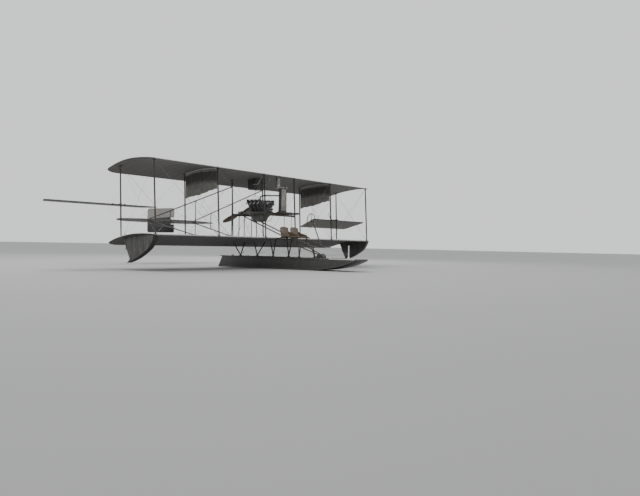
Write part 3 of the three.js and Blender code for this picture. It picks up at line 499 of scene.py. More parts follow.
BRASS = metal("dull_brass", (0.48, 0.40, 0.25), 0.38, 0.5)
COPPER = metal("dull_copper", (0.42, 0.26, 0.18), 0.42, 0.6)
WIRE_STEEL = metal("wire_steel", (0.22, 0.22, 0.23), 0.45, 0.3)
CRANK_METAL = metal("crankcase_alloy", (0.15, 0.15, 0.15), 0.52, 0.6, 0.5)
PIPE_METAL = metal("bright_pipe", (0.60, 0.60, 0.60), 0.32, 0.35)
RADIATOR_METAL = metal("radiator_shell", (0.085, 0.080, 0.068), 0.5, 0.5, 0.5)
RADIATOR_FIN = metal("radiator_fin", (0.47, 0.455, 0.42), 0.5, 0.35, 0.3)
HEADER_METAL = metal("header_shell", (0.30, 0.30, 0.295), 0.42, 0.4)
HULL = paint("hull_paint", (0.036, 0.035, 0.033), 0.5, (0.13, 0.125, 0.115), 0.2, 0.3)
HULL_TRIM = paint("hull_trim", (0.050, 0.047, 0.043), 0.5, (0.15, 0.145, 0.13), 0.2, 0.3)
PALE_TRIM = paint("pale_rail", (0.55, 0.53, 0.49), 0.5, (0.25, 0.24, 0.22), 0.3)
TIP_SIDE = paint("scoop_side", (0.055, 0.053, 0.050), 0.5, (0.24, 0.23, 0.21), 0.2, 0.55)
TIP_SHEET = paint("scoop_sheet", (0.022, 0.021, 0.020), 0.42, (0.12, 0.12, 0.11), 0.2)
WHITE = paint("white_post", (0.80, 0.79, 0.76), 0.5, (0.45, 0.43, 0.40), 0.3, 0.2)
TANK = paint("tank_paint", (0.045, 0.045, 0.046), 0.38, (0.35, 0.34, 0.32), 0.3, 0.15)
BLACK = paint("black_enamel", (0.03, 0.03, 0.03), 0.35, (0.3, 0.3, 0.3), 0.3)
SPRUCE = ("strut_wood", STRUT_WOOD, DARK_IRON)
ASH = ("dark_wood", BED_WOOD, DARK_IRON)


# Camera and stage


def make_camera():
    """Looks along CAMERA_AHEAD from CAMERA_PLACE, with its upright turned to CAMERA_UP."""
    data = bpy.data.cameras.new("camera")
    data.lens, data.sensor_width, data.clip_end = CAMERA_LENS, SENSOR, 500
    camera = add_object("camera", data)
    back = -Vector(CAMERA_AHEAD).normalized()
    right = Vector(CAMERA_UP).cross(back).normalized()
    turn = Matrix((right, back.cross(right), back)).transposed().to_4x4()
    camera.matrix_world = Matrix.Translation(CAMERA_PLACE) @ turn
    bpy.context.scene.camera = camera


def make_stage():
    """A pale floor under the float, an even pale sky, and two large soft lamps."""
    corners = [(-160, -160, 0), (160, -160, 0), (160, 160, 0), (-160, 160, 0)]
    mesh = bpy.data.meshes.new("floor")
    mesh.from_pydata(corners, [], [(0, 1, 2, 3)])
    mesh.materials.append(Net("floor", 0.85, Base_Color=(0.37, 0.37, 0.365, 1)).finish)
    add_object("floor", mesh)
    world = bpy.data.worlds.new("studio")
    world.use_nodes = True
    sky = world.node_tree.nodes["Background"]
    sky.inputs["Color"].default_value = (0.80, 0.81, 0.82, 1)
    sky.inputs["Strength"].default_value = 1.28
    bpy.context.scene.world = world
    for name, place, size, power in (("key", (-4, -7, 15), 9, 1500), ("back", (-9, 11, 9), 8, 900)):
        lamp = bpy.data.lights.new(name, "AREA")
        lamp.size, lamp.energy = size, power
        holder = add_object(name, lamp)
        holder.location = place
        holder.rotation_mode = "QUATERNION"
        holder.rotation_quaternion = Vector(place).to_track_quat("Z", "Y")


# Wings


def outline_of(wing):
    """A wing's plan as rows of (y, x): its front edge, with a corner at the outer strut, and its rear edge."""
    front, rear = wing[0] + SPAR_BACK, wing[0] + SPAR_BACK - CHORD
    tip, turn = front - 1.0, rear + 0.23
    nose = bezier([(4.90, front), (4.94, front - 0.445), (HALF_SPAN, tip + 0.40), (HALF_SPAN, tip)], 30)
    tail = bezier([(4.60, rear), (4.76, rear), (5.02, turn - 0.16), (5.04, turn)], 16)
    tail = np.vstack([tail, [(HALF_SPAN, tip)]])
    return [np.vstack([rows[::-1] * (-1, 1), rows]) for rows in (nose, tail)]


def covered(front, rear, ys, thick, middle, pitch, sag, across=34):
    """A cloth-covered surface between a front and a rear outline, each of them rows of (y, x).

    At each y a ring runs from the front edge over the top to the rear edge and back underneath, at
    x = rear + (front - rear) times (1 + cosine) / 2. Its height is the middle, plus or minus half the
    thickness, which closes as a half circle at the outline. Between two ribs the cloth sinks by the
    sag times a squared sine. Faces above have the finish 0, and faces below and on the nose the finish 1,
    which the wings, tail and ailerons fill with a darker cloth as painted shade.
    """
    front, rear = np.array(front), np.array(rear)
    turn = np.arange(2 * across) * np.pi / across
    x_front, x_rear = (np.interp(ys, *edge.T)[:, None] for edge in (front, rear))
    x = x_rear + (x_front - x_rear) * (1 + np.cos(turn)) / 2
    y = np.broadcast_to(ys[:, None], x.shape)
    outline = np.vstack([front, rear[::-1]])
    away = np.full(x.shape, np.inf)
    for near, way in zip(outline, np.roll(outline, -1, 0) - outline):
        side_y, side_x = y - near[0], x - near[1]
        share = np.clip((side_y * way[0] + side_x * way[1]) / max(way @ way, 1e-12), 0, 1)
        away = np.minimum(away, np.hypot(side_y - share * way[0], side_x - share * way[1]))
    full = thick(x) / 2
    half = full * np.sqrt(1 - (1 - np.clip(away / full, 0, 1)) ** 2)
    sink = sag * np.sin(np.pi * y / pitch) ** 2 * np.clip(away / 0.2, 0, 1) ** 0.5
    z = middle(x) + np.where(turn < np.pi, 1.0, -1.0) * np.maximum(half - sink, half * 0.5)
    points, quads, caps, _ = closed(at(x, y, z))
    around = np.arange(len(quads)) % (2 * across)
    # Finish 1 goes under the surface and over the front of its top: where the pieces put painted shade
    return points, quads, caps, ((around >= across) | (around < 4)).astype(int)


def rows_between(low, high, pitch, ends=0.12):
    """Places along a covered surface: eight to each rib, and closer together towards both ends."""
    inner = np.arange(math.ceil(low / pitch * 8), math.floor(high / pitch * 8) + 1) * pitch / 8
    inner = inner[(inner > low + ends) & (inner < high - ends)]
    near = ends * (1 - np.cos(np.linspace(0, np.pi / 2, 8)))
    return np.unique(np.round(np.concatenate([low + 1e-4 + near, inner, high - 1e-4 - near]), 6))[::-1]


def wing(node, place, below):
    front, rear = outline_of(place)
    tips = 4.6 + (HALF_SPAN - 1e-4 - 4.6) * np.sin(np.linspace(0, np.pi / 2, 26))
    tips = np.union1d(tips, [4.892, 4.899, 4.901, 4.905, 4.910, 4.918])
    ys = np.concatenate([tips[::-1], np.arange(124, -125, -1) * RIB_PITCH / 8, -tips])
    thick = lambda x: thickness(place, x)
    middle = lambda x: underside(place, x) + thickness(place, x) / 2
    skin = covered(front, rear, ys, thick, middle, RIB_PITCH, 0.004)
    # below: the underside cloth, darker than the top as painted shade
    cover(node, "cloth", [skin], "wing_cloth", CLOTH_TOP, below)


# Struts and wires


def drop(depth, width, sides=16):
    """A streamlined section: an oval that is fuller in front of its middle."""
    cosine, sine = circle(sides).T
    return at(depth / 2 * cosine, width / 2 * sine * (1 + 0.22 * cosine) / 1.03)


def spar(foot, head, depth, width, hint=X, narrow=0.8, cup=0.075):
    """A strut of streamlined section between two points, fullest at its middle, in a steel cup at each end."""
    section, way = drop(depth, width), np.subtract(head, foot)
    part = np.linspace(0, 1, 14)
    swell = narrow + (1 - narrow) * np.sin(np.pi * part) ** 0.7
    parts = [carry(section, foot + part[:, None] * way, swell, hint)]
    stop = at(0, 0.02, 0.9, 1)[:, None] * cup / np.linalg.norm(way)
    for path in (foot + stop * way, head - stop * way):
        parts.append(carry(section, path, narrow * at(1.22, 1.24, 1.16, 1.04), hint, 1))
    return parts


def wing_strut(node, sign, station, row):
    """A strut between the wings, with a bolted plate under and over it and eyes for the wires."""
    y = sign * STATIONS[station]
    foot = at(row[0], y, top_at(LOWER, row[0]) - 0.002)
    head = at(row[1], y, underside(UPPER, row[1]) + 0.002)
    parts = spar(foot, head, 0.052, 0.029)
    for end, place, out in ((foot, LOWER, Z), (head, UPPER, -Z)):
        slope = (underside(place, end[0] + 0.05) - underside(place, end[0] - 0.05)) / 0.1
        along, base = X + slope * Z, end + 0.004 * out
        parts.append(bar(base - 0.055 * along, base + 0.055 * along, 0.046, 0.006, Y, 0.002, 1))
        parts += [bolt(base + step * along + 0.003 * out, out) for step in (-0.042, 0.042)]
        for away in (-Y, Y):
            parts.append(rod(end + 0.012 * away + 0.004 * out, end + 0.03 * away + 0.022 * out, 0.005, 8, 1))
    cover(node, "spruce", parts, *SPRUCE)


def strut_caps():
    """A small dark cap on the upper wing over the head of each strut."""
    cap, caps = ((0.026, 0), (0.024, 0.008), (0.010, 0.012)), []
    for _, sign in SIDES:
        for y in STATIONS.values():
            caps += [spin(cap, (x, sign * y, top_at(UPPER, x) - 0.006), Z, 12) for _, x in (FRONT_ROW, REAR_ROW)]
    make("strut_caps", caps, "dark_wood", DARK_IRON)


def wire(a, b, radius=0.0019, buckle=True):
    """A taut wire, with a turnbuckle near its first end."""
    way = np.subtract(b, a)
    length = np.linalg.norm(way)
    parts = [rod(a, b, radius, 6)]
    if buckle and length > 0.5:
        rows = [(0.0022, 0), (0.005, 0.008), (0.005, 0.022), (0.003, 0.034), (0.003, 0.066), (0.005, 0.078)]
        rows += [(0.005, 0.092), (0.0022, 0.1)]
        parts.append(spin(rows, a + way / length * 0.09, way, 8))
    return parts


def wing_end(sign, station, row, upper):
    """Where a wire is held, just off the foot or the head of a wing strut."""
    x, z = (row[1], underside(UPPER, row[1]) - 0.022) if upper else (row[0], top_at(LOWER, row[0]) + 0.022)
    return at(x, sign * STATIONS[station], z)


def bay_wires():
    """Between the wing struts: doubled wires up and outward, single ones back, and a cross at each station."""
    parts = []
    for _, sign in SIDES:
        for row in (FRONT_ROW, REAR_ROW):
            for near, far in (("inner", "middle"), ("middle", "outer")):
                low, high = wing_end(sign, near, row, False), wing_end(sign, far, row, True)
                for step in (-0.009, 0.009):
                    parts += wire(low + (step, sign * 0.03, 0), high + (step, -sign * 0.03, 0))
                low, high = wing_end(sign, far, row, False), wing_end(sign, near, row, True)
                parts += wire(low - (0, sign * 0.03, 0), high + (0, sign * 0.03, 0))
        for station in STATIONS:
            ends = [wing_end(sign, station, row, upper) for upper in (False, True) for row in (FRONT_ROW, REAR_ROW)]
            parts += wire(ends[0] - (0.03, sign * 0.028, 0), ends[3] + (0.03, -sign * 0.028, 0))
            parts += wire(ends[1] + (0.03, -sign * 0.033, 0), ends[2] - (0.03, sign * 0.033, 0))
    return parts


def float_wires():
    """Crossed wires beside and between the legs of the float, and two from its bow leg on each side."""
    parts = []
    ends = [(x, foot, inner, underside(LOWER, x) - 0.03) for x, foot, _, inner in FLOAT_LEGS.values()]
    for _, sign in SIDES:
        rear_foot, front_foot = (at(x, sign * foot, DECK + 0.04) for x, foot, *_ in ends)
        rear_head, front_head = (at(x, sign * y, z) for (x, *_, z), y in zip(ends, (0.70, 0.50)))
        parts += wire(rear_foot, front_head) + wire(front_foot, rear_head)
        parts += wire((1.09, sign * 0.37, DECK + 0.05), front_head + 0.02 * X)
        parts += wire(front_foot + 0.02 * X, (1.03, sign * 0.32, 0.66))
    for x, foot, inner, z in ends:
        parts += wire((x + 0.01, foot, DECK + 0.04), (x + 0.01, -inner, z))
        parts += wire((x - 0.01, -foot, DECK + 0.04), (x - 0.01, inner, z))
    return parts


def bed_wires():
    """Crossed wires between the inner posts under the engine bed, and one outward from each post's head."""
    x = row_at(REAR_ROW, BED_Z)
    low = top_at(LOWER, x)
    parts = wire((x - 0.018, -0.165, low + 0.02), (x - 0.018, 0.165, 1.545), 0.0045, False)
    parts += wire((x + 0.018, 0.165, low + 0.02), (x + 0.018, -0.165, 1.50), 0.0045, False)
    for sign in (1, -1):
        parts += wire((x + 0.022, sign * 0.60, low + 0.015), (x + 0.022, sign * 0.18, 1.545), 0.0050, False)
    return parts


# Floats


def plate(outline, low, high, edge=0.004, axis=1, tone=0):
    """A flat piece between two planes across an axis, its outline drawn in along its corners' normals at both."""
    outline = np.asarray(outline, float)
    a, b = outline.T
    if a @ np.roll(b, -1) < np.roll(a, -1) @ b:
        outline = outline[::-1]
    ahead = unit(np.roll(outline, -1, 0) - outline)
    normal = unit((ahead + np.roll(ahead, 1, 0))[:, ::-1] * (1, -1))
    planes = ((low, edge), (low + edge, 0), (high - edge, 0), (high, edge))
    rings = np.array([np.insert(outline - inset * normal, axis, place, axis=1) for place, inset in planes])
    return closed(rings if axis != 1 else rings[:, ::-1], tone)


def main_float():
    """The long float: at each place along it a rounded box of the half width, bottom and deck height there."""
    nose = bezier([(1.25, 0.0), (2.05, 0.0), (2.58, 0.13), (2.985, 0.305)], 40)
    plan = bezier([(1.65, 0.42), (2.3, 0.418), (2.93, 0.36), (2.985, 0.30)], 40)
    stations = np.concatenate([np.linspace(-2.06, 1.25, 34), nose[1:, 0]])
    bottom, half = np.interp(stations, *nose.T), np.interp(stations, *plan.T)
    rings = []
    for x, low, wide in zip(stations, bottom, half):
        y, z = (rounded(2 * wide, DECK - low, 0.014, 4) + (0, (DECK + low) / 2)).T
        rake = 0.18 * np.clip(1 - (x + 2.06) / 0.6, 0, 1)
        rings.append(at(x + rake * z / DECK, y, z))
    parts = [closed(np.array(rings))]
    rail = rounded(0.026, 0.014, 0.003)
    for sign in (1, -1):
        edge = at(stations[1:-1], sign * (half[1:-1] + 0.002), DECK - 0.012)
        chine = at(stations[2:-2], sign * (half[2:-2] + 0.001), bottom[2:-2] + 0.022)
        parts.append(carry(rail, edge[edge[:, 0] <= 1.78], tone=1))
        parts.append(carry(rail, edge[edge[:, 0] > 2.12], tone=2))
        parts.append(carry(rounded(0.034, 0.012, 0.003), chine, tone=1))
    for x in (-1.5, -0.62, 0.42, 1.38, 2.2):
        parts.append(pad((x, 0, DECK - 0.004), 0.022, 0.405 if x < 1.6 else 0.37, 0.012, tone=1))
    lid = ((0.075, 0), (0.075, 0.006), (0.06, 0.009), (0.012, 0.010))
    parts += [spin(lid, (x, 0, DECK - 0.002), Z, 24, 3) for x in (-1.7, -0.3, 0.7)]
    parts.append(pad((-1.83, 0, DECK - 0.002), 0.03, 0.02, 0.032, 0.004, 3))
    cover("main_float", "hull", parts, "float_wood", HULL, HULL_TRIM, PALE_TRIM, BRASS)


def tip_float(side, sign):
    """The scoop under a wing tip: two ribbed sides on a bent sheet that runs on past them behind."""
    y = sign * STATIONS["outer"]
    run = [(-0.83, 0.205), (-0.62, 0.268), (-0.42, 0.355), (-0.24, 0.455), (-0.08, 0.56), (0.025, 0.67)]
    run = curve(run + [(0.092, 0.78), (0.122, 0.876)], 5)
    top = [(x, underside(LOWER, x) + 0.004) for x in (0.085, -0.1, -0.4, -0.7, -1.02)]
    parts = [plate(np.vstack([run[:-2], top, [(-0.76, 0.285), (-0.812, 0.222)]]), y - 0.07, y + 0.07)]
    lip = np.vstack([[(-0.85, 0.197)], run])
    sheet = at(lip[:, 0] + 0.002, y, lip[:, 1] - 0.006)
    parts.append(carry(rounded(0.010, 0.158, 0.003), sheet, 1, (-0.5, 0, 1), 1))
    for x in (-0.9, -0.68, -0.46, -0.24, -0.02):
        low = np.interp(x, *run.T) if x > -0.8 else 0.49
        for rib in (y + 0.071, y - 0.071):
            parts.append(bar((x, rib, low + 0.012), (x, rib, underside(LOWER, x) - 0.004), 0.018, 0.008, X, 0.002, 2))
    for out in (1, -1):
        parts += [bolt((x - 0.01, y + out * 0.072, z + 0.012), out * Y, 0.006, 3) for x, z in lip[2::3]]
    cover(f"tip_float_{side}", "scoop", parts, "float_wood", TIP_SIDE, TIP_SHEET, HULL_TRIM, DARK_IRON)


def float_struts(side, sign):
    """Two legs from one foot on the deck to the lower wing, at two places along the float."""
    for station, (x, foot, *heads) in FLOAT_LEGS.items():
        base = at(x, sign * foot, DECK)
        parts = []
        for y in heads:
            head = at(x, sign * y, underside(LOWER, x) + 0.002)
            parts += spar(base + 0.02 * Z, head, 0.046, 0.029, narrow=0.82, cup=0.06)
        parts.append(pad(base, 0.045, 0.03, 0.016, tone=1))
        parts.append(pad(base + 0.01 * Z, 0.02, 0.026, 0.04, 0.006, 1))
        parts += [bolt(base + (step, 0, 0.016), Z) for step in (-0.034, 0.034)]
        cover(f"float_strut_{station}_{side}", "legs", parts, *SPRUCE)


# Tail


BOOM_X = row_at(REAR_ROW, 2.435)  # where the upper booms leave the rear struts
BOOMS = {"upper": (BOOM_X, 2.435, 1.475), "lower": (-1.49, 0.682, 1.41)}  # x and z in front, z at the tail


def boom_at(level, x, sign):
    """A point on the line of a boom."""
    start, front_z, tail_z = BOOMS[level]
    y = STATIONS["inner"] + (JOIN_Y - STATIONS["inner"]) * (x - BOOM_X) / (JOIN_X - BOOM_X)
    return at(x, sign * y, front_z + (tail_z - front_z) * (x - start) / (JOIN_X - start))


def booms(side, sign):
    """Upper and lower boom, each with its sleeves and the block that holds the tail plane, and their posts."""
    part = np.linspace(0, 1, 20)[:, None]
    swell = 0.86 + 0.16 * np.sin(np.pi * part) ** 0.6
    for level, start, up in (("upper", BOOM_X - 0.02, 1), ("lower", -1.485, -1)):
        a, b = boom_at(level, start, sign), boom_at(level, JOIN_X + 0.01, sign)
        parts = [carry(circle(14), a + part * (b - a), 0.0172 * swell)]
        sleeve = 0.035 * unit(b - a)
        for x in (start, *POSTS.values()):
            middle = boom_at(level, x, sign)
            parts.append(rod(middle - sleeve, middle + sleeve, 0.0195, 14, 1))
        near, far = TAIL_Z + 0.0698 * (JOIN_X - HINGE_X) + up * 0.018, b[2] + up * 0.012
        parts.append(box((-4.685, b[1] - 0.022, near), (-4.585, b[1] + 0.022, far), 0.004, 1))
        parts += [bolt((x, b[1], far), up * Z, 0.009) for x in (-4.61, -4.66)]
        cover(f"{level}_boom_{side}", "spruce", parts, "strut_wood", BOOM_WOOD, DARK_IRON)
    for place, x in POSTS.items():
        low, high = boom_at("lower", x, sign) + 0.012 * Z, boom_at("upper", x, sign) - 0.012 * Z
        cover(f"boom_post_{place}_{side}", "spruce", spar(low, high, 0.034, 0.022, cup=0.05), *SPRUCE)


def boom_wires():
    """Crosses in each bay of the booms, on both sides, above, below and at the posts, and to the tail's tips."""
    parts = []
    stops = (-1.55, *POSTS.values(), -4.6)
    for _, sign in SIDES:
        step = sign * 0.012 * Y
        for near, far in zip(stops, stops[1:]):
            parts += wire(boom_at("lower", near, sign) + step, boom_at("upper", far, sign) + step)
            parts += wire(boom_at("upper", near, sign) - step, boom_at("lower", far, sign) - step)
        for level, z in (("upper", TAIL_Z + 0.03), ("lower", TAIL_Z)):
            parts += wire((-4.72, sign * 1.86, z), boom_at(level, POSTS["rear"], sign))
    for near, far in zip(stops[1:], stops[2:]):
        for level in BOOMS:
            parts += wire(boom_at(level, near, 1), boom_at(level, far, -1))
            parts += wire(boom_at(level, near, -1) + 0.006 * Z, boom_at(level, far, 1) + 0.006 * Z)
    for x in POSTS.values():
        parts += wire(boom_at("lower", x, 1), boom_at("upper", x, -1))
        parts += wire(boom_at("lower", x, -1) + 0.008 * X, boom_at("upper", x, 1) + 0.008 * X)
    return parts


def tail_surface(front, rear, ys, front_x, rear_x, thin, full):
    """A tail surface level at the tail's height, its thickness changing evenly from front to rear."""
    thick = lambda x: np.interp(x, (rear_x, front_x), (full, thin))
    return covered(front, rear, ys, thick, lambda x: TAIL_Z, 0.28, 0.0025, 22)


def set_tail(parts):
    """Parts turned about the elevators' hinge line, to the angle at which the tail is set."""
    return turned(parts, (HINGE_X, 0, TAIL_Z), Y, -TAIL_SET)


def horn(middle, reach, depth, axis, far, off):
    """A streamlined lever through a surface, and a wire from each of its ends to the surface near its edge."""
    part = at(-1, -0.985, -0.9, -0.4, 0, 0.4, 0.9, 0.985, 1)[:, None]
    swell = (0.45, 0.62, 0.72, 0.95, 1, 0.95, 0.72, 0.62, 0.45)
    parts = [carry(drop(depth, depth * 0.5, 12), middle + part * reach * axis, swell, X, 3)]
    for end in (axis, -axis):
        parts += wire(middle + (reach - 0.008) * end, far + off * end, 0.0016, False)
    return parts


def tail_plane():
    side = bezier([(0.3, -4.35), (1.5, -4.41), (2.12, -4.8)], 24)
    front = np.vstack([side[::-1] * (-1, 1), side])
    rear = [(-2.12, -4.825), (-0.076, -4.825), (-0.074, -4.695), (0.074, -4.695), (0.076, -4.825), (2.12, -4.825)]
    ys = np.union1d(rows_between(-2.12, 2.12, 0.28), [0.0745, 0.0755, -0.0745, -0.0755])[::-1]
    parts = [tail_surface(front, rear, ys, -4.35, -4.825, 0.024, 0.036)]
    for y in (0.43, 1.5, -0.43, -1.5):
        parts.append(rod((HINGE_X, y - 0.045, TAIL_Z), (HINGE_X, y + 0.045, TAIL_Z), 0.008, 12, 2))
        parts.append(box((HINGE_X - 0.005, y - 0.009, TAIL_Z - 0.007), (-4.815, y + 0.009, TAIL_Z + 0.007), 0.002, 2))
    # The tail plane's underside and nose get the darkened underside cloth: painted shade
    cover("tail_plane", "cloth", set_tail(parts), "wing_cloth", CLOTH_TAIL, CLOTH_UNDER_PAINTED_SHADE, DARK_IRON)


def elevator(side, sign):
    rear = np.vstack([[(0.11, -4.89), (0.45, -5.52)], bezier([(0.9, -5.52), (1.79, -5.50), (2.11, -4.885)], 26)])
    front = [(0.11, -4.884), (2.11, -4.884)]
    parts = [tail_surface(front, rear, rows_between(0.11, 2.11, 0.28), -4.884, -5.52, 0.020, 0.008)]
    for y in (0.457, 1.527):
        parts.append(eye((HINGE_X, y, TAIL_Z), Y, 0.0095, 0.019, 0.022))
        parts.append(box((-4.892, y - 0.010, TAIL_Z - 0.008), (HINGE_X - 0.015, y + 0.010, TAIL_Z + 0.008), 0.002, 2))
    parts += horn((-4.914, 0.30, TAIL_Z), 0.19, 0.024, Z, (-5.40, 0.36, TAIL_Z), 0.006)
    parts = set_tail(parts if sign > 0 else mirrored(parts))
    # The elevator's underside and nose get the darkened underside cloth: painted shade
    finishes = (CLOTH_TAIL, CLOTH_UNDER_PAINTED_SHADE, DARK_IRON, STRUT_WOOD)
    cover(f"elevator_{side}", "cloth", parts, "wing_cloth", *finishes, body="elevators")


def rudder():
    """One cloth surface, worked out lying down and then stood up. It reaches ahead of its post above and
    below the tail plane. The lower part is dark, up to a line that rises a little towards the front."""
    front = [(1.045, -4.570), (1.07, -4.545), (1.288, -4.545), (1.328, -4.585), (1.3281, -4.775)]
    front += [(1.5609, -4.775), (1.561, -4.585), (1.601, -4.545), (1.825, -4.545), (1.885, -4.605)]
    rear = [(1.045, -5.84), (1.105, -5.90), (1.825, -5.90), (1.885, -5.84)]
    steps = at(0, 0.003, 0.008, 0.016, 0.028, 0.041)
    at_gap = np.concatenate([1.328 - steps, 1.561 + steps, [1.3281, 1.5609]])
    zs = np.union1d(rows_between(1.045, 1.885, 0.21, 0.06), at_gap)[::-1]
    thick = lambda x: np.interp(x, (-5.9, -5.2, -4.545), (0.012, 0.024, 0.022))
    points, quads, caps, _ = covered(front, rear, zs, thick, lambda x: 0, 0.21, 0.002, 24)
    points = points[:, [0, 2, 1]]
    x, _, z = points[quads].mean(1).T
    dark = z < 1.52 + 0.048 * (x + 5.9)
    parts = [(points, quads[:, ::-1], caps[:, ::-1], dark.astype(int))]
    for z in (1.358, 1.531):
        parts.append(eye((RUDDER_X, 0, z), Z, 0.0165, 0.027, 0.034))
        parts.append(box((-4.783, -0.008, z - 0.016), (RUDDER_X - 0.024, 0.008, z + 0.016), 0.002, 2))
    parts += horn((-4.825, 0, 1.25), 0.17, 0.024, Y, (-5.45, 0, 1.25), 0.010)
    finishes = (RUDDER_PALE, RUDDER_DARK, DARK_IRON, STRUT_WOOD)
    cover("rudder", "cloth", parts, "rudder_cloth", *finishes, body="rudder")


def rudder_post():
    parts = [rod((RUDDER_X, 0, 1.336), (RUDDER_X, 0, 1.553), 0.0148, 16)]
    parts += [rod((RUDDER_X, 0, z), (RUDDER_X, 0, z + 0.004), 0.020, 16, 1) for z in (1.336, 1.549)]
    for end in (-1, 1):
        z = TAIL_Z + 0.009 + end * 0.040
        parts.append(box((RUDDER_X - 0.010, -0.011, z - 0.018), (RUDDER_X + 0.073, 0.011, z + 0.018), tone=1))
        parts.append(bolt((RUDDER_X + 0.055, 0, z + end * 0.018), end * Z, 0.007))
    cover("rudder_post", "spruce", parts, *SPRUCE)


# Ailerons and curtains


def aileron(side, sign):
    """An aileron with its hinge eyes, its horn and the wires from the horn to the rear edge."""
    front = [(3.6, -1.324), (6.90, -1.324), (6.95, -1.384)]
    rear = [(3.6, -1.98), (3.66, -2.04), (6.48, -2.04), (6.59, -1.97), (6.95, -1.385)]
    thick = lambda x: np.interp(x, (-2.04, -1.484, -1.324), (0.008, 0.030, 0.024))
    parts = [covered(front, rear, rows_between(3.6, 6.95, 0.30), thick, lambda x: AILERON_Z, 0.30, 0.003, 26)]
    for y in (STATIONS["outer"] - 0.19, STATIONS["outer"] + 0.19):
        parts.append(eye((AILERON_X, y, AILERON_Z), Y, 0.0115, 0.022, 0.030))
        parts.append(box((-1.332, y - 0.014, AILERON_Z - 0.010), (-1.318, y + 0.014, AILERON_Z + 0.010), 0.002, 2))
    y = STATIONS["outer"] - 0.12
    parts += horn((-1.384, y, AILERON_Z), 0.33, 0.026, Z, (-1.97, y, AILERON_Z), 0.006)
    if sign < 0:
        parts = mirrored(parts)
    else:
        parts = turned(parts, (AILERON_X, 0, AILERON_Z), Y, -PORT_DROOP)
    # Finish 1, under the aileron and over its nose, is its cloth darkened as painted shade
    finishes = (CLOTH_PALE, CLOTH_AILERON_UNDER_PAINTED_SHADE, DARK_IRON, STRUT_WOOD)
    cover(f"aileron_{side}", "cloth", parts, "pale_cloth", *finishes, body=f"{side}_aileron")


def aileron_hinge(side, sign):
    """The tube behind the outer rear strut on which the aileron turns, with its bracket."""
    x, y, z = row_at(REAR_ROW, AILERON_Z), sign * STATIONS["outer"], AILERON_Z
    parts = [rod((AILERON_X, y - 0.23, z), (AILERON_X, y + 0.23, z), 0.0095, 14)]
    parts.append(box((-1.304, y - 0.009, z - 0.014), (x - 0.015, y + 0.009, z + 0.014)))
    parts.append(rod((x, y, z - 0.035), (x, y, z + 0.035), 0.027, 16))
    make(f"aileron_hinge_{side}", parts, "control_metal", DARK_IRON)


def curtain(side, sign):
    """Loose cloth hung from the upper wing between the middle struts, gathered on its rope.

    The sheet's sideways place is a sum of sines along it, whose size grows towards the lower edge.
    """
    part, down = np.linspace(0, 1, 110)[None], np.linspace(0, 1, 30)[:, None]
    x = FRONT_ROW[1] - 0.035 + (REAR_ROW[1] - FRONT_ROW[1] + 0.07) * part
    top = underside(UPPER, x) - 0.003
    low = (UPPER[1] - 0.560) * (1 - part) + (underside(UPPER, REAR_ROW[1]) - 0.700) * part
    low = low + 0.012 * np.sin(part * 9.0) + 0.006 * np.sin(part * 31.0)
    z = top + (low - top) * down
    lean = (row_at(FRONT_ROW, z) - FRONT_ROW[1]) * (1 - part) + (row_at(REAR_ROW, z) - REAR_ROW[1]) * part
    fold = np.sin(part * 46 + 0.7 * np.sin(down * 2.0)) + 0.6 * np.sin(part * 83 + 1.3) + 0.5 * np.sin(part * 17 + 0.4)
    ends = np.clip(np.minimum(part, 1 - part) / 0.06, 0, 1)
    out = 0.0075 * fold * (0.25 + 0.75 * down) * (0.3 + 0.7 * ends)
    grid = at(x + lean, sign * STATIONS["middle"] + out, z)
    cloth_part = (grid.reshape(-1, 3), loop_quads(*grid.shape[:2], False), NO_CAPS, 0)
    sheet = cover(f"side_curtain_{side}", "cloth", [cloth_part], "curtain_cloth", CLOTH_CURTAIN_PAINTED_SHADE)
    trim = [carry(rounded(0.020, 0.006, 0.002), grid[-1][::2] + (0, 0, 0.006))]
    trim.append(carry(rounded(0.022, 0.012, 0.003), grid[0][::3] - (0, 0, 0.010), tone=1))
    make(f"curtain_hem_{side}", trim, "curtain_cloth", HEM, PALE_TRIM)


# Engine group


def cylinder_places(bank):
    """The x of the four cylinders of a bank: those to port stand a little further forward."""
    return CRANK_REAR + 0.095 + 0.150 * np.arange(4) + (0.022 if bank > 0 else 0)


def over_bank(x, bank, reach, inward, rise):
    """A place above a cylinder: a reach along its axis, then inward and up."""
    y, z = reach * math.sin(BANK_LEAN) - inward, reach * math.cos(BANK_LEAN) + rise
    return x, bank * y, CRANK_Z + z


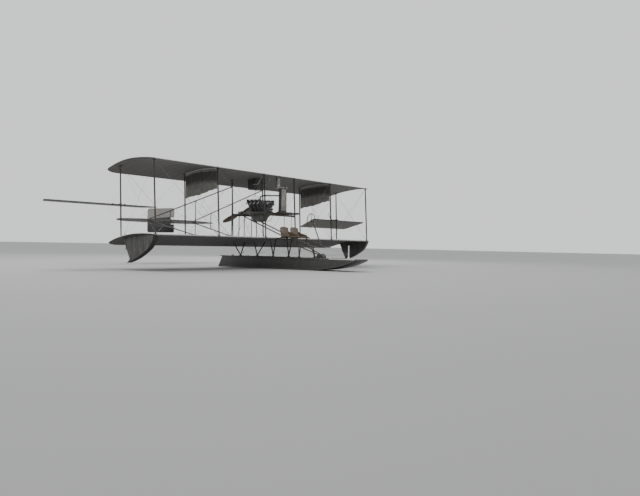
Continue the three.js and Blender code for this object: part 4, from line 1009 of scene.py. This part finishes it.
def cylinder(x, bank):
    """One ribbed cylinder: a barrel turned about its own leaning axis, its rocker and the rods that lift it."""
    sine, cosine = bank * math.sin(BANK_LEAN), math.cos(BANK_LEAN)
    base, up, side = at(x, 0, CRANK_Z), at(0, sine, cosine), at(0, cosine, -sine)
    outward = bank * side
    rows = [(0.058, 0.095), (0.060, 0.100), (0.060, 0.118), (0.049, 0.122), (0.048, 0.200)]
    for low in 0.205 + 0.072 * np.arange(4):
        for rib in low + at(0, 0.012, 0.024):
            rows += [(0.049, rib), (0.0605, rib + 0.002), (0.0605, rib + 0.006), (0.049, rib + 0.008)]
        rows += [(0.049, low + 0.036), (0.048, low + 0.06)]
    rows += [(0.048, 0.488), (0.044, 0.500), (0.020, 0.505)]
    valve = ((0.013, 0.500), (0.013, 0.512), (0.008, 0.516), (0.008, 0.530), (0.005, 0.534))
    parts = [spin(rows, base, up, 20)]
    parts += [spin(valve, base + step * X, up, 10, 1) for step in (-0.028, 0.028)]
    rocker = base + 0.528 * up
    parts.append(bar(rocker - 0.034 * X, rocker + 0.034 * X, 0.012, 0.009, up, 0.002, 1))
    for step in (-0.03, 0.03):
        foot = base + 0.112 * up - 0.066 * outward + 0.6 * step * X
        parts.append(rod(foot, rocker - 0.052 * outward + step * X, 0.0045, 8, 2))
    parts += bolt_ring(base + 0.118 * up, X, side, up, 0.053, 6, 0.5, 0.006, 2)
    port, way = base + 0.470 * up + 0.040 * outward, unit(outward - 0.25 * Z)
    path = curve([port, port + 0.05 * way, port + 0.085 * way - (0.02, 0, 0.01)], 4)
    parts.append(carry(circle(12), path, 0.019 * at(1, 1, 1, 1, 1, 1, 1.02, 1.04, 1.06), X, 3))
    plug = ((0.009, 0), (0.009, 0.012), (0.005, 0.014), (0.005, 0.034), (0.003, 0.036))
    parts.append(spin(plug, base + 0.43 * up - 0.052 * outward, -outward, 8, 4))
    return parts


def engine():
    """Crankcase with its feet, sump and nose, the two banks of cylinders, and the pipes that feed them."""
    rows = [(0.092, 0), (0.104, 0.010), (0.108, 0.030), (0.117, 0.034), (0.117, 0.056), (0.110, 0.060)]
    for rib in (0.210, 0.360, 0.510):
        rows += [(0.110, rib - 0.016), (0.1175, rib - 0.012), (0.1175, rib + 0.004), (0.110, rib + 0.008)]
    rows += [(0.110, 0.620), (0.117, 0.626), (0.117, 0.646), (0.106, 0.652), (0.090, 0.680)]
    parts = [spin(rows, (CRANK_REAR, 0, CRANK_Z), X, 28)]
    for sign in (1, -1):
        near, far = (CRANK_REAR + 0.062, sign * 0.085, 1.6705), (CRANK_FRONT - 0.062, sign * 0.214, 1.694)
        parts.append(box(near, far, 0.004))
        web = [(sign * 0.10, 1.69), (sign * 0.19, 1.692), (sign * 0.10, 1.75)]
        for x in CRANK_REAR + 0.10 + 0.096 * np.arange(6):
            parts += [bolt((x, sign * 0.172, 1.694), Z, 0.011, 2), plate(web, x - 0.036, x - 0.030, 0.001, 0)]
    parts.append(plate([(-0.99, 1.60), (-0.952, 1.402), (-0.562, 1.402), (-0.442, 1.60)], -0.104, 0.104, 0.012))
    parts.append(box((-1.0, -0.110, 1.598), (-0.432, 0.110, 1.610)))
    for x in -0.97 + 0.085 * np.arange(7):
        parts += [bolt((x, y, 1.598), -Z, 0.006, 2) for y in (0.107, -0.107)]
    parts.append(spin([(0.016, 0), (0.016, 0.012), (0.010, 0.016)], (-0.76, 0, 1.404), -Z, 6, 2))
    nose = [(0.069, 0), (0.069, 0.10), (0.062, 0.104), (0.062, 0.125), (0.048, 0.148), (0.020, 0.150)]
    parts.append(spin(nose, (-0.40, 0, 1.67), X))
    parts += bolt_ring((-0.302, 0, 1.67), Y, Z, X, 0.058, 8, np.pi / 8, 0.006, 2)
    feed = [(-0.965, 0, 1.955), (-0.85, 0, 1.962), (-0.70, 0, 1.960), (-0.55, 0, 1.962), (-0.445, 0, 1.955)]
    parts.append(tube(feed, 0.026, 14, 4, 3))
    for x in CRANK_REAR + 0.160 + 0.180 * np.arange(3):
        parts.append(rod((x, 0, 1.75), (x, 0, 1.96), 0.020, 14, 3))
        parts.append(rod((x, 0, 1.925), (x, 0, 1.935), 0.027, 14, 2))
    for bank in (-1, 1):
        for x in cylinder_places(bank):
            branch = [(x, 0.01 * bank, 1.965), (x, 0.07 * bank, 1.985), over_bank(x, bank, 0.44, 0.042, 0.02)]
            parts += [*cylinder(x, bank), tube(branch, 0.013, 10, 5, 3)]
    cover("engine", "block", parts, "engine_metal", CRANK_METAL, DARK_IRON, STEEL, PIPE_METAL, WHITE)


def engine_fittings():
    """The magneto in front of the crankcase, the ignition rails with their leads, and the oil line."""
    parts = [box((-0.335, -0.045, 1.742), (-0.255, 0.045, 1.80), 0.008)]
    drum = [(0.040, 0), (0.042, 0.006), (0.042, 0.05), (0.034, 0.058), (0.012, 0.060)]
    parts.append(spin(drum, (-0.258, 0, 1.80), -X, 18, 1))
    for bank in (-1, 1):
        y, z = 0.09 * bank, 2.035
        parts.append(rod((-0.98, y, z), (-0.35, y, z), 0.010, 10, 2))
        parts.append(tube([(-0.35, y, z), (-0.28, y, 1.99), (-0.265, 0.02 * bank, 1.85)], 0.008, 8, 6, 2))
        for x in cylinder_places(bank):
            plug = over_bank(x, bank, 0.43, 0.088, 0.058)
            parts.append(tube([(x + 0.02, y, z + 0.008), (x + 0.014, 0.07 * bank, z + 0.045), plug], 0.0035, 6, 5, 2))
    oil = [(-0.52, 0.06, 1.42), (-0.38, 0.075, 1.44), (-0.30, 0.06, 1.56), (-0.28, 0.05, 1.62)]
    parts.append(tube(oil, 0.008, 8, 6, 3))
    make("engine_fittings", parts, "engine_metal", DARK_IRON, STEEL, BLACK, COPPER)


def engine_bed():
    """Two bearers with their straps, on two cross beams between the inner struts."""
    parts = []
    for y in (BEARER_Y, -BEARER_Y):
        parts.append(bar((-1.238, y, BEARER_Z), (0.62, y, BEARER_Z), 0.060, 0.050, Z, 0.006))
        for x in (-1.21, -0.12, 0.22, 0.59):
            parts.append(bar((x - 0.016, y, BEARER_Z), (x + 0.016, y, BEARER_Z), 0.0635, 0.0535, Z, 0.002, 1))
    reach = STATIONS["inner"] - 0.016
    for row in (REAR_ROW, FRONT_ROW):
        x = row_at(row, BED_Z)
        parts.append(bar((x, -reach, BED_Z), (x, reach, BED_Z), 0.046, 0.056, X, 0.006))
        for sign in (1, -1):
            parts.append(box((x - 0.026, sign * reach, 1.558), (x + 0.026, sign * (reach - 0.09), 1.622), tone=1))
            parts += [bolt((x + 0.026, sign * (reach - step), BED_Z), X) for step in (0.03, 0.065)]
            parts.append(pad((x, sign * BEARER_Y, 1.604), 0.026, 0.03, 0.018, 0.002, 1))
    cover("engine_bed", "ash", parts, *ASH)


def bed_supports():
    """Four posts under the rear cross beam, a long brace on each side, and thin stays under the bearers."""
    x = row_at(REAR_ROW, BED_Z)
    low = top_at(LOWER, x) - 0.002
    for side, sign in SIDES:
        for place, y in (("inner", sign * BEARER_Y), ("outer", sign * 0.410)):
            parts = spar((x, y, low), (x, y, 1.5615), 0.028, 0.028, cup=0.05)
            parts += [pad((x, y, z), 0.032, 0.022, 0.007, 0.002, 1) for z in (low, 1.5545)]
            cover(f"bed_post_{place}_{side}", "ash", parts, *ASH)
        y = sign * BEARER_Y
        parts = spar((0.492, y, 0.8975), (-1.189, y, 1.5398), 0.037, 0.036, Z, 0.86, 0.06)
        parts.append(pad((0.480, y, 0.914), 0.014, 0.020, 0.012, tone=1))
        cover(f"engine_brace_{side}", "ash", parts, *ASH)
    stays = []
    for y in (-BEARER_Y, BEARER_Y):
        stays += spar((0.358, y, 0.683), (0.353, y, 1.6105), 0.016, 0.016, cup=0.03)
        stays += [pad((x, y, z), 0.017, 0.016, 0.006, 0.002, 1) for x, z in ((0.355, 0.681), (0.350, 1.6045))]
    make("bearer_stays", stays, *ASH)


def propeller():
    """Two laminated blades: a rounded wing section whose width, thickness and twist follow the radius.

    Width = 0.04 + 0.16 times a raised sine of the radius, and the twist is the arctangent of pitch over turn.
    """
    tip = 0.80 + 0.07 * np.sin(np.linspace(0.1, np.pi / 2, 9))
    reach = np.concatenate([np.linspace(0.04, 0.80, 30), tip])[:, None]
    part = reach / 0.87
    width = 0.040 + 0.160 * np.sin(np.pi * np.minimum(1, part * 0.86 + 0.02)) ** 1.2 * (1 - 0.25 * part)
    width = width * np.sqrt(np.clip(1 - ((reach - 0.80) / 0.0705).clip(0, 1) ** 2, 0.02, 1))
    thick = 0.046 * (1 - part) + 0.012
    twist = np.arctan2(0.62, 2 * np.pi * np.maximum(part, 0.12))
    cosine, sine = circle(24).T
    across = cosine * width / 2
    through = sine * np.where(sine > 0, 1.0, 0.45) * thick / 2 * 0.95
    x = across * np.sin(twist) + through * np.cos(twist)
    z = through * np.sin(twist) - across * np.cos(twist)
    blade = closed(at(x, reach, z)[:, ::-1])
    centre = np.zeros(3)
    parts = [blade] + turned([blade], centre, X, math.pi)
    hub = [(0.030, -0.062), (0.078, -0.062), (0.085, -0.055), (0.085, 0.055), (0.078, 0.062), (0.030, 0.062)]
    parts.append(spin(hub, centre, X, 28))
    flange = [(0.020, 0.060), (0.0615, 0.061), (0.0615, 0.072), (0.056, 0.076), (0.024, 0.078)]
    for way in (-X, X):
        parts += [spin(flange, centre, way, 24, 1), *bolt_ring(0.073 * way, Y, Z, way, 0.045, 8, 0.2, 0.008, 2)]
    parts.append(spin([(0.022, 0.07), (0.022, 0.094), (0.014, 0.10)], centre, -X, 6, 2))
    parts.append(spin([(0.030, 0.04), (0.030, 0.452), (0.026, 0.4585)], centre, X, 20, 1))
    parts = turned(parts, centre, X, math.radians(19.5))
    parts = [(points + (-1.52, 0, CRANK_Z), *rest) for points, *rest in parts]
    cover("propeller", "blades", parts, "propeller_wood", BLADE_WOOD, DARK_IRON, STEEL, body="propeller")


def radiator():
    """Fins across rows of water tubes, between side plates and headers, with the tall filler beside them."""
    parts = [box((0.0935, -0.117, z), (0.1855, 0.117, z + 0.0034), 0.0008, 1) for z in 1.736 + 0.0166 * np.arange(40)]
    for y in -0.105 + 0.015 * np.arange(15):
        parts += [bar((x, y, 1.725), (x, y, 2.395), 0.016, 0.0095, X, 0.0015, 1) for x in (0.108, 0.1395, 0.171)]
    parts.append(box((0.077, -0.205, 1.6705), (0.202, 0.205, 1.690), 0.004))
    parts.append(box((0.080, -0.135, 1.686), (0.199, 0.135, 1.731), 0.008))
    parts.append(box((0.074, -0.138, 2.389), (0.205, 0.138, 2.440), 0.010))
    rows = [(0.050, 2.398), (0.0635, 2.404), (0.0635, 2.424), (0.0655, 2.427), (0.0655, 2.437), (0.0632, 2.440)]
    rows += [(0.0632, 2.60), (0.0650, 2.603), (0.0650, 2.611), (0.0632, 2.614)]
    rows += [(0.0632, underside(UPPER, -0.055) + 0.002)]
    parts.append(spin(rows, (-0.055, 0, 0), Z, 28, 3))
    parts.append(box((-0.055, -0.039, 2.401), (0.076, 0.039, 2.429), 0.005))
    neck = [(0.015, 0), (0.015, 0.006), (0.011, 0.008), (0.011, 0.020), (0.016, 0.022), (0.016, 0.0295)]
    parts += [spin(neck, (0.200, y, 2.414), X, 16, 4) for y in (-0.085, 0.085)]
    for sign in (1, -1):
        parts.append(box((0.092, sign * 0.112, 1.72), (0.187, sign * 0.120, 2.40), 0.002))
        parts.append(box((0.078, sign * 0.132, 2.393), (0.201, sign * 0.1392, 2.436), tone=4))
        for x in (0.092, 0.187):
            parts.append(bolt((x, sign * 0.170, 1.690), Z, 0.009, 2))
            parts.append(bar((x, sign * 0.120, 2.40), (x, sign * 0.126, 1.70), 0.010, 0.004, X, 0.001))
    finishes = (RADIATOR_METAL, RADIATOR_FIN, BRASS, HEADER_METAL, PIPE_METAL)
    cover("radiator", "core", parts, "radiator_metal", *finishes)


def water_pipe():
    """The pipe from the engine to the radiator, with three rubber joints between their clips."""
    pipe = [(-0.76, 0, 2.155), (-0.64, 0, 2.195), (-0.30, 0, 2.19), (0.0917, 0, 2.181)]
    parts = [tube(pipe, 0.0198, 16, 8), rod((-0.74, 0, 1.988), (-0.74, 0, 2.17), 0.0198, 16)]
    for x, z, far_x, far_z in ((-0.54, 2.2, -0.50, 2.2), (-0.02, 2.184, 0.085, 2.181), (-0.74, 2.0, -0.74, 2.06)):
        start, way = at(x, 0, z), at(far_x - x, 0, far_z - z)
        parts.append(rod(start, start + way, 0.0235, 16, 1))
        parts += [rod(start + share * way, start + (share + 0.1) * way, 0.0252, 16, 2) for share in (0.1, 0.8)]
    cover("water_pipe", "tube", parts, "pipe_metal", BLACK, DARK_IRON, BRASS)


def fuel_tank():
    """A tank under the upper wing, rounded below, with its seams, two straps and its cock."""
    low, rear, front = 2.38, -1.11, -0.79
    bottom = rounded(front - rear, 0.12, 0.05, 6) + ((front + rear) / 2, low + 0.06)
    lower = bottom[bottom[:, 1] < low + 0.05]
    lower = lower[np.argsort(np.arctan2(lower[:, 1] - 2.5, lower[:, 0] + 0.95))]
    top = [(x, underside(UPPER, x) - 0.001) for x in (front, rear)]
    outline = np.vstack([lower, top])
    parts = [plate(outline, -0.1745, 0.1745, 0.008)]
    x, z = np.vstack([top[1:], lower, top[:1]]).T
    for y in (-0.11, 0.11):
        strap = at(x + np.where(x > -0.95, 0.0025, -0.0025), y, z - 0.002)
        parts.append(carry(rounded(0.004, 0.026, 0.001), strap, 1, (0.3, 0, 1), 1))
    parts += [carry(circle(8, 0.0035), np.insert(outline, 1, y, axis=1), 1, Y) for y in (-0.172, 0.172)]
    cock = [(0.012, 0), (0.012, 0.02), (0.006, 0.024), (0.006, 0.05), (0.009, 0.052), (0.009, 0.066)]
    parts.append(spin(cock, (-0.95, 0, 2.384), -Z, 10, 2))
    parts.append(bar((-0.975, 0, 2.345), (-0.935, 0, 2.345), 0.006, 0.006, Z, 0.001, 2))
    cover("fuel_tank", "shell", parts, "tank_metal", TANK, DARK_IRON, BRASS)


def fuel_line():
    """The line down from the tank's cock, and a bent vent pipe on each side of the tank."""
    line = [(-0.95, 0, 2.325), (-0.93, -0.03, 2.24), (-0.86, -0.07, 2.17), (-0.72, -0.05, 2.10), (-0.68, -0.02, 2.00)]
    vent = [(-0.90, 0.172, 2.54), (-0.86, 0.198, 2.54), (-0.67, 0.20, 2.545), (-0.59, 0.20, 2.66), (-0.505, 0.20, 2.775)]
    parts = [tube(line, 0.006, 8, 8), tube(vent, 0.0075, 10, 8, 1)]
    make("fuel_line", parts + mirrored(parts[1:]), "pipe_metal", COPPER, PIPE_METAL)


# Crew's frame


def foot_frame():
    """Rails ahead of the lower wing with the bars across them, their posts, stays and front legs, and clamps."""
    parts = []
    for sign in (1, -1):
        y, foot, inner = sign * 0.309, sign * 0.380, sign * 0.185
        parts.append(rod((0.132, y, RAIL_Z), (1.62, y, RAIL_Z), 0.016, 16))
        for x, foot_x in ((1.08, 1.098), (1.02, 1.088)):
            parts.append(rod((x, y, RAIL_Z), (foot_x, foot, 0.366), 0.0155, 14))
        parts.append(pad((1.095, foot, DECK), 0.054, 0.031, 0.012, tone=1))
        parts.append(pad((1.095, foot, DECK + 0.008), 0.030, 0.022, 0.037, 0.006, 1))
        parts += [bolt((x, foot, DECK + 0.012), Z) for x in (1.055, 1.135)]
        for x in (0.48, 0.82):
            parts.append(rod((x, y, RAIL_Z), (x, y, BAR_Z), 0.013))
            parts.append(rod((x, y - 0.02, BAR_Z), (x, y + 0.02, BAR_Z), 0.0175, 12, 1))
            parts.append(rod((x, y, 0.89), (x, y, 0.92), 0.0165, 12, 1))
        parts.append(rod((1.56, y, RAIL_Z), (0.82, y, 0.90), 0.013))
        parts.append(rod((0.47, y, 0.93), (0.182, y, 0.895), 0.013))
        for x in (1.60, 1.55, 1.05, 0.82, 0.48, 0.36, 0.95):
            parts.append(rod((x - 0.022, y, RAIL_Z), (x + 0.022, y, RAIL_Z), 0.0185, 14, 1))
        parts.append(rod((0.95, inner, RAIL_Z), (1.541, sign * 0.0668, 0.4525), 0.0148))
        parts.append(rod((0.93, inner, RAIL_Z), (0.97, inner, RAIL_Z), 0.0175, 12, 1))
        parts.append(rod((1.59, sign * 0.36, RAIL_Z), (1.59, sign * 0.465, RAIL_Z), 0.0175, 14, 2))
    across = ((0.36, 0.319, RAIL_Z), (0.95, 0.319, RAIL_Z), (1.59, 0.47, RAIL_Z), (0.48, 0.48, BAR_Z), (0.82, 0.48, BAR_Z))
    parts += [rod((x, -half, z), (x, half, z), 0.0140, 14) for x, half, z in across]
    cover("foot_frame", "tubes", parts, "dark_wood", BED_WOOD, DARK_IRON, BLACK)


def foot_block():
    """A half-round block on the deck with two hoops over it, held down by a cleat in front and behind."""
    turn = np.linspace(0, np.pi, 25)
    round_top = at(np.cos(turn), np.sin(turn))
    parts = [plate((1.60, DECK + 0.0005) + 0.119 * round_top, -0.09, 0.09, 0.006)]
    for y in (-0.075, 0.075):
        path = np.insert((1.60, DECK + 0.001) + 0.12 * round_top, 1, y, axis=1)
        parts.append(carry(rounded(0.008, 0.016, 0.003), path, 1, Y, 1))
    for x in (1.472, 1.728):
        parts.append(pad((x, 0, DECK), 0.014, 0.07, 0.010, tone=2))
        parts += [bolt((x, y, DECK + 0.010), Z, 0.007, 2) for y in (-0.045, 0.045)]
    cover("foot_block", "planks", parts, "float_wood", HULL_TRIM, HULL, DARK_IRON)


def seat(side, sign):
    """A bent-plywood seat: pan, raked back with a rolled top, and cheeks, each a thin shaped panel."""
    x, y, low = 0.64, sign * 0.24, 0.9475
    parts = [plate(rounded(0.40, 0.40, 0.05, 6) + (x, y), low, low + 0.020, 0.005, 2)]
    across, up = np.linspace(-1, 1, 21)[:, None], np.linspace(0, 1, 15)[None]
    width = 0.195 * np.sqrt(1 - 0.10 * up**3)
    rear = x - 0.188 - 0.062 * up - 0.014 * np.sin(np.pi * up * 0.9) + 0.028 * across**2
    top = low + 0.012 + (0.285 - 0.035 * np.abs(across) ** 3) * up
    face = at(rear, y + across * width, top)
    back = face - (0.014, 0, 0.003)
    parts.append(closed(np.concatenate([face, back[:, ::-1]], 1)[:, ::-1]))
    cheek = [(-0.185, 0.012), (0.13, 0.012), (0.125, 0.05), (0.06, 0.08), (-0.10, 0.115), (-0.205, 0.165)]
    for edge in (y - 0.191, y + 0.191):
        parts.append(plate(at(x, low) + cheek, edge - 0.006, edge + 0.006, 0.003))
    stud, tack = ((0.010, 0), (0.009, 0.003), (0.003, 0.004)), ((0.005, 0), (0.004, 0.003), (0.001, 0.0035))
    for step in (-0.16, 0.18):
        parts += [spin(stud, (x + step, y + end, low + 0.020), Z, 10, 1) for end in (-0.15, 0.15)]
    for step in -0.15 + 0.05 * np.arange(7):
        parts.append(spin(tack, (x - 0.180, y + step, low + 0.045), (1, 0, 0.2), 8, 1))
    cover(f"seat_{side}", "ply", parts, "seat_wood", SEAT_WOOD, DARK_IRON)


def control_column():
    """The leaning column in its socket, and the hand wheel: a wooden rim, three spokes and a boss."""
    low, wheel = 0.6835, at(1.22, 0, 1.43)
    parts = [rod((1.586, 0, low + 0.012), (1.265, 0, 1.43), 0.0165, 16)]
    parts.append(pad((1.585, 0, low), 0.039, 0.039, 0.024, 0.004, 1))
    socket = ((0.026, 0), (0.026, 0.03), (0.020, 0.04), (0.018, 0.075))
    parts.append(spin(socket, (1.586, 0, low + 0.018), (-0.4, 0, 0.92), 14, 1))
    turn = np.arange(48) * 2 * np.pi / 48
    rim = wheel + 0.2 * at(0, np.cos(turn), np.sin(turn))
    parts.append(hoop(swept(circle(12), rim, 0.0118, X), 2))
    for angle in np.radians((90, 210, 330)):
        spoke = 0.194 * at(0, math.cos(angle), math.sin(angle))
        path = np.linspace(wheel + 0.002 * X, wheel + spoke, 8)
        parts.append(carry(rounded(0.016, 0.009, 0.003), path, np.linspace(1.1, 0.75, 8), X, 1))
        parts.append(spin([(0.006, 0), (0.005, 0.003), (0.002, 0.004)], wheel + 0.98 * spoke + 0.010 * X, X, 8, 3))
    boss = [(0.012, -0.018), (0.026, -0.018), (0.030, -0.012), (0.030, 0.016), (0.024, 0.022), (0.024, 0.058)]
    parts.append(spin(boss + [(0.018, 0.060)], wheel, X, 20, 1))
    parts += bolt_ring(wheel - 0.0175 * X, Y, Z, -X, 0.019, 6, 0, 0.0045, 3)
    cover("control_column", "wheel", parts, "control_metal", BLACK, DARK_IRON, BLADE_WOOD, BRASS)


def bow_post():
    """The short white post on the deck near the bow, on its bolted foot."""
    rows = [(0.042, 0), (0.042, 0.010), (0.034, 0.024), (0.024, 0.044), (0.017, 0.072), (0.016, 0.352)]
    rows += [(0.0172, 0.356), (0.0172, 0.364), (0.010, 0.3697)]
    parts = [spin(rows, (2.54, 0, DECK + 0.0002), Z, 20)]
    parts += bolt_ring((2.54, 0, DECK + 0.012), X, Y, Z, 0.036, 4, np.pi / 4, 0.006, 1)
    cover("bow_post", "painted", parts, "white_paint", WHITE, DARK_IRON)


# The whole machine


ONCE = (main_float, engine, engine_fittings, engine_bed, bed_supports, propeller, radiator, water_pipe, fuel_tank)
ONCE += (fuel_line, foot_frame, foot_block, control_column, bow_post, strut_caps, tail_plane, rudder_post, rudder)
EACH_SIDE = (elevator, curtain, aileron, aileron_hinge, tip_float, float_struts, booms, seat)


def dress():
    # Each wing's underside cloth is a dark copy of the top cloth: painted shade, deepest under the lower wing
    wing("upper_wing", UPPER, CLOTH_UNDER_PAINTED_SHADE)
    wing("lower_wing", LOWER, CLOTH_SHADE)
    for build in ONCE:
        build()
    for side, sign in SIDES:
        for station in STATIONS:
            for place, row in (("front", FRONT_ROW), ("rear", REAR_ROW)):
                wing_strut(f"{place}_strut_{side}_{station}", sign, station, row)
        for build in EACH_SIDE:
            build(side, sign)
    wires = bay_wires() + boom_wires() + float_wires() + bed_wires()
    wires += wire((1.606, 0, 0.655), (2.527, 0, 0.492), 0.0030) + wire((1.722, 0, 0.432), (2.527, 0, 0.470), 0.0030)
    make("bracing_wires", wires, "control_metal", WIRE_STEEL)


dress()
make_camera()
make_stage()
